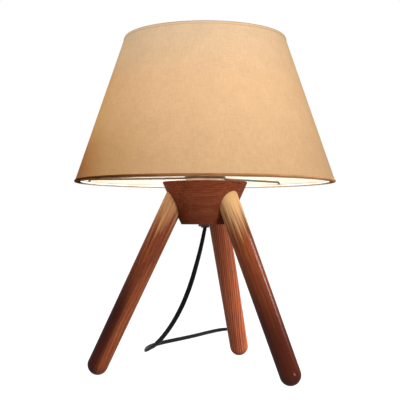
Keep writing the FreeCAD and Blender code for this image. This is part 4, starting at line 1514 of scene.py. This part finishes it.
# ---- shade ---------------------------------------------------------------------------------
@dataclass
class Shade:
    """Linen cone, its seam, hems, lining, hoops and spider."""

    bottom_r: float = 0.1645
    top_r: float = 0.1025
    bottom_z: float = 0.239
    top_z: float = 0.422
    wall: float = 0.0008
    columns: int = 289
    rows: int = 41
    join_gap: float = 1e-5
    seam_deg: float = 90.0
    seam_half: float = 0.0045
    seam_lap: float = 0.00045
    seam_rows: int = 40
    seam_ends: tuple[float, float] = (0.0042, 0.0034)
    weld_azimuths: tuple[float, ...] = (48.5, 165.0, 282.5)
    weld_places: tuple[Flat, ...] = ((0.1592, 0.2422), (0.0266, 0.2453))
    weld_r: float = 0.0019
    linen: Finish = Linen("linen_lit")

    @property
    def slant(self) -> float:
        """Length of the cone's side."""
        return math.hypot(self.bottom_r - self.top_r, self.top_z - self.bottom_z)

    @property
    def cone_share(self) -> float:
        """How much of a turn on the flat cut goes with a turn of the cone."""
        return (self.bottom_r - self.top_r) / self.slant

    def radius(self, height: float) -> float:
        """Outer radius of the linen at a height."""
        share = (height - self.bottom_z) / (self.top_z - self.bottom_z)
        return self.bottom_r + share * (self.top_r - self.bottom_r)

    def flat_place(self, angle: float, radius: float) -> Flat:
        """Place on the flat cut of a point at an angle from the shade's front, in radians."""
        reach, turn = radius / self.cone_share, angle * self.cone_share
        return reach * math.sin(turn), -reach * math.cos(turn)

    def cloth(self) -> Piece:
        """Makes the linen as a rolled-up flat sector of cloth.

        Returns:
            The cloth.
        """
        rule = Rule("cone_of_cloth")
        low_r, high_r = rule.size("Bottom radius", self.bottom_r), rule.size("Top radius", self.top_r)
        low_z, high_z = rule.size("Bottom height", self.bottom_z), rule.size("Top height", self.top_z)
        share = rule.size("Cone share", self.cone_share)
        columns = rule.size("Columns", self.columns, "NodeSocketInt")
        rows = rule.size("Rows", self.rows, "NodeSocketInt")
        graph = rule.graph
        sizes = {"Size X": 1.0, "Size Y": 1.0, "Vertices X": columns, "Vertices Y": rows}
        grid = graph.node("GeometryNodeMeshGrid", sizes).outputs
        across, up, _ = graph.parts(grid["UV Map"])
        angle = across * TURN + math.radians(self.seam_deg)
        radius = low_r + up * (high_r - low_r)
        height = low_z + up * (high_z - low_z)
        place = graph.joined(radius * angle.cosine(), radius * angle.sine(), height)
        reach = radius / share
        turn = (across - 0.5) * share * TURN
        flat = graph.joined(reach * turn.sine(), reach * turn.cosine() * -1.0, 0.0)
        kept = rule.step(
            "GeometryNodeStoreNamedAttribute", {"Geometry": grid[0], "Name": "laid", "Value": flat},
            data_type="FLOAT2", domain="CORNER",
        )
        placed = rule.step("GeometryNodeSetPosition", {"Geometry": kept, "Position": place})
        joined = rule.step("GeometryNodeMergeByDistance", {"Geometry": placed, "Distance": self.join_gap})
        made = rule.bake("shade_linen", joined, self.linen)
        thick = made.modifiers.new("wall", "SOLIDIFY")
        thick.thickness = self.wall
        thick.offset = -1.0
        thick.use_even_offset = True
        mesh = evaluated_mesh(made)
        made.modifiers.clear()
        made.data = mesh
        return smooth(made)

    def seam(self) -> Piece:
        """Makes the lapped edge of the cloth at the back.

        Returns:
            The seam's lap.
        """
        half, lap, under = self.seam_half, self.seam_lap, -0.0002
        outline = (
            (-half, under), (-half, lap * 0.7), (-half + 0.0004, lap), (half - 0.0006, lap * 0.9),
            (half, lap * 0.4), (half, under),
        )
        long = self.top_z - self.bottom_z - sum(self.seam_ends)
        rings = []
        for row in range(self.seam_rows + 1):
            height = self.bottom_z + self.seam_ends[0] + long * row / self.seam_rows
            radius = self.radius(height)
            rings.append([
                polar(self.seam_deg - math.degrees(aside / radius), radius + out, height)
                for aside, out in outline
            ])
        made = welded(lofted("shade_seam", self.linen, rings))
        laid = made.data.uv_layers["laid"]
        for loop in made.data.loops:
            place = made.data.vertices[loop.vertex_index].co
            turn = math.atan2(place.y, place.x) - math.radians(self.seam_deg) + math.pi
            laid.data[loop.index].uv = self.flat_place(turn, math.hypot(place.x, place.y))
        return made

    def bottom_hem(self) -> Piece:
        """Makes the rolled tape round the bottom ring.

        Returns:
            The hem.
        """
        under, edge, inner = self.bottom_z, self.bottom_r, 0.1581
        outline = [
            (self.radius(under + 0.0027), under + 0.0027), (edge + 0.00015, under + 0.0018),
            (edge - 0.0001, under + 0.0005), (edge - 0.0009, under + 0.0001),
            (edge - 0.0055, under + 0.0001), (inner, under + 0.0009), (inner, under + 0.0024),
            (0.15765, under + 0.0026), (0.15755, under + 0.0008), (inner, under - 0.00015),
            (0.1593, under - 0.0005), (edge - 0.0016, under - 0.0005), (edge - 0.0003, under - 0.0001),
            (edge + 0.0005, under + 0.0007), (edge + 0.0006, under + 0.0014),
            (self.radius(under + 0.0030) + 0.0005, under + 0.0030),
        ]
        # inner_glow paints light on the hem's inner lip, and glow gives the tape a faint painted glow.
        tape = Tape("hem_tape_dark", inner_r=0.1606, inner_z=0.2401, inner_glow=8.0, glow=0.12)
        made = turned_piece("hem_bottom", tape, outline[::-1], 360, 0.00006)
        return ready(made, "shade", "hem_tape", "shade_bottom_hem")

    def top_hem(self) -> Piece:
        """Makes the cloth folded over the top ring.

        Returns:
            The hem.
        """
        over, edge, low = self.top_z, self.top_r, self.top_z - 0.0029
        outline = [
            (self.radius(low) + 0.0001, low), (self.radius(low) + 0.0005, over - 0.0026),
            (edge + 0.0005, over - 0.0002), (edge + 0.0001, over + 0.0004),
            (edge - 0.0010, over + 0.0005), (0.0990, over + 0.0005), (0.0979, over + 0.0001),
            (0.0977, over - 0.0009), (0.0977, over - 0.0028), (0.0981, over - 0.0028),
            (0.0982, over - 0.0009), (0.0990, over), (edge - 0.0003, over - 0.00002),
        ]
        made = turned_piece("hem_top", Linen("linen_top_fold", fold_z=0.4216), outline, 300, 0.00005)
        return ready(made, "shade", "hem_tape", "shade_top_hem")

    def welds(self) -> Piece:
        """Makes the spider's six weld beads.

        Returns:
            The beads.
        """
        rule = Rule("weld_beads")
        radius = rule.size("Bead radius", self.weld_r)
        bead = rule.step("GeometryNodeMeshIcoSphere", {"Radius": radius, "Subdivisions": 3})
        rows = rule.copies(bead, Scale=(1.0, 1.0, 0.8))
        places = [polar(azimuth, *place) for azimuth in self.weld_azimuths for place in self.weld_places]
        return ready(rule.bake("spider_welds", rows, COATED_WIRE, places), "shade", "coated_wire")

    def build(self) -> None:
        """Makes and dresses the whole shade."""
        cloth, seam = self.cloth(), self.seam()
        hems = [self.bottom_hem(), self.top_hem()]
        self.welds()
        ready(cloth, "shade", "linen", "shade_fabric")
        ready(seam, "shade", "linen")
        dress(Lining("lining_lit"), "shade_liner")
        dress(COATED_WIRE, "shade_bottom_ring", "shade_top_ring")
        dress(COATED_WIRE, "spider_spoke_1", "spider_spoke_2", "spider_spoke_3")
        dress(Metal("bronze_paint", (0.10, 0.065, 0.042), 0.42, 0.5), "fitter_ring")


# ---- stand ---------------------------------------------------------------------------------
@dataclass(frozen=True)
class Leg:
    """One leg: its node, where it stands and how its wood looks."""

    node: str
    azimuth: float
    wood: Wood


@dataclass
class Stand:
    """Hub and legs, with the metal that ties them together."""

    # Each leg has painted shade: low down on the left and right legs, on the left leg's left side, and near
    # the top of the back leg. The left and right legs have painted light on their tops. The back and left
    # legs' tones are raised, partly as their own lighter wood and partly as painted light where little lamp
    # light reaches them.
    legs: tuple[Leg, ...] = (
        Leg("leg_back", 69.0, Wood(
            "leg_back_wood", ring=0.0026, late=0.48, blotch=0.10, painted_low_shade=PaintedBand(0.45, 0.18, 0.045),
        ).raised(2.20, 0.016)),
        Leg("leg_left", 190.0, Wood(
            "leg_left_wood", late=0.20, painted_shade_side=-1.0, blotch=0.60,
            painted_low_shade=PaintedBand(0.95, 0.070, 0.160), painted_top_light=PaintedBand(0.62, 0.172, 0.222),
        ).raised(1.12, 0.003)),
        Leg("leg_right", 317.0, Wood(
            "leg_right_wood", late=0.18, blotch=0.6,
            painted_low_shade=PaintedBand(0.90, 0.05, 0.155), painted_top_light=PaintedBand(0.95, 0.168, 0.212),
        )),
    )
    # The hub has painted shade towards its bottom.
    hub: Wood = Wood(
        "hub_wood", grain=(1.0, 0.05, 0.02), centre=(0.0, 0.0, 0.2), shift=(-0.25, 0.03, 0.31),
        cut=Cut.BLOCK, ring=0.0027, dark=(0.125, 0.0280, 0.0122), middle=(0.275, 0.0680, 0.0290),
        light=(0.42, 0.125, 0.051), deep=(0.062, 0.014, 0.008), blotch=0.35, sway=4.0, late=0.20,
        coat=0.04, painted_low_shade=PaintedBand(0.48, 0.195, 0.240),
    )
    foot: Flat = (0.135, 0.01235)
    top: Flat = (0.0395, 0.215)
    grain_lean: float = 0.05
    first_shift: Place = (0.019, 0.003, 0.0)
    next_shift: Place = (0.004, -0.005, 0.7)

    def leg_wood(self, leg: Leg, order: int) -> Wood:
        """Finish of one leg, with its own stretch of grain.

        Args:
            leg: The leg.
            order: Its number, from 0.

        Returns:
            The finish.
        """
        foot, top = polar(leg.azimuth, *self.foot), polar(leg.azimuth, *self.top)
        way = (top - foot).normalized()
        way = (way + Vector((-way.y, way.x, 0.0)).normalized() * self.grain_lean).normalized()
        shift = tuple(first + more * order for first, more in zip(self.first_shift, self.next_shift))
        return replace(leg.wood, grain=tuple(way), centre=tuple(foot), shift=shift)

    def build(self) -> None:
        """Dresses hub, legs and their fastenings."""
        for order, leg in enumerate(self.legs):
            dress(self.leg_wood(leg, order), leg.node)
        dress(self.hub, "hub")
        dress(ZINC, "leg_screws", "threaded_tube")
        dress(Metal("brown_paint", (0.085, 0.045, 0.024), 0.5, 0.2), "lock_nut")


# ---- lampholder and bulb -------------------------------------------------------------------
@dataclass
class Lampholder:
    """Lampholder with its thread, ring and wires."""

    thread: Thread = Thread("skirt_thread", 0.01995, 0.2475, 0.2735, 0.0025, 0.00022)

    def build(self) -> None:
        """Makes the skirt's thread and dresses the solids."""
        ready(self.thread.build(IVORY), "stand", "white_plastic")
        dress(IVORY, "retaining_ring", "lampholder_cap", "lampholder_skirt", "lampholder_insert")
        dress(BRASS, "lampholder_screw_shell", "lampholder_contact", "terminal_screws")
        dress(Plastic("core_brown", (0.16, 0.06, 0.025), 0.5), "core_live")
        dress(Plastic("core_blue", (0.03, 0.09, 0.34), 0.5), "core_neutral")


@dataclass
class Bulb:
    """Round bulb, switched on, with a rolled screw thread."""

    thread: Thread = Thread("bulb_thread", 0.0130, 0.2585, 0.2735, 0.0036, 0.00032)

    def build(self) -> None:
        """Makes the cap's thread and dresses the solids."""
        ready(self.thread.build(NICKEL), "bulb", "nickel")
        dress(NICKEL, "bulb_cap")
        dress(OpalGlass("opal_lit"), "bulb_glass")
        dress(ClearGlass("black_glass", (0.01, 0.01, 0.012), 0.0), "bulb_insulator")
        dress(ClearGlass("clear_glass"), "bulb_stem")
        dress(BRASS, "bulb_contact")
        dress(Plastic("filament_yellow", (0.95, 0.68, 0.20), 0.5), "bulb_filaments")


# ---- whole lamp ----------------------------------------------------------------------------
def main() -> None:
    """Builds the studio, then the cord, then each sub-assembly."""
    logging.basicConfig(level=logging.INFO, format="%(message)s")
    studio = Studio()
    studio.camera()
    studio.build()
    flat = FlatCord()
    cord = flat.build()
    CordFittings(flat).build()
    for part in (Shade(), Stand(), Lampholder(), Bulb()):
        part.build()


if __name__ == "__main__":
    main()
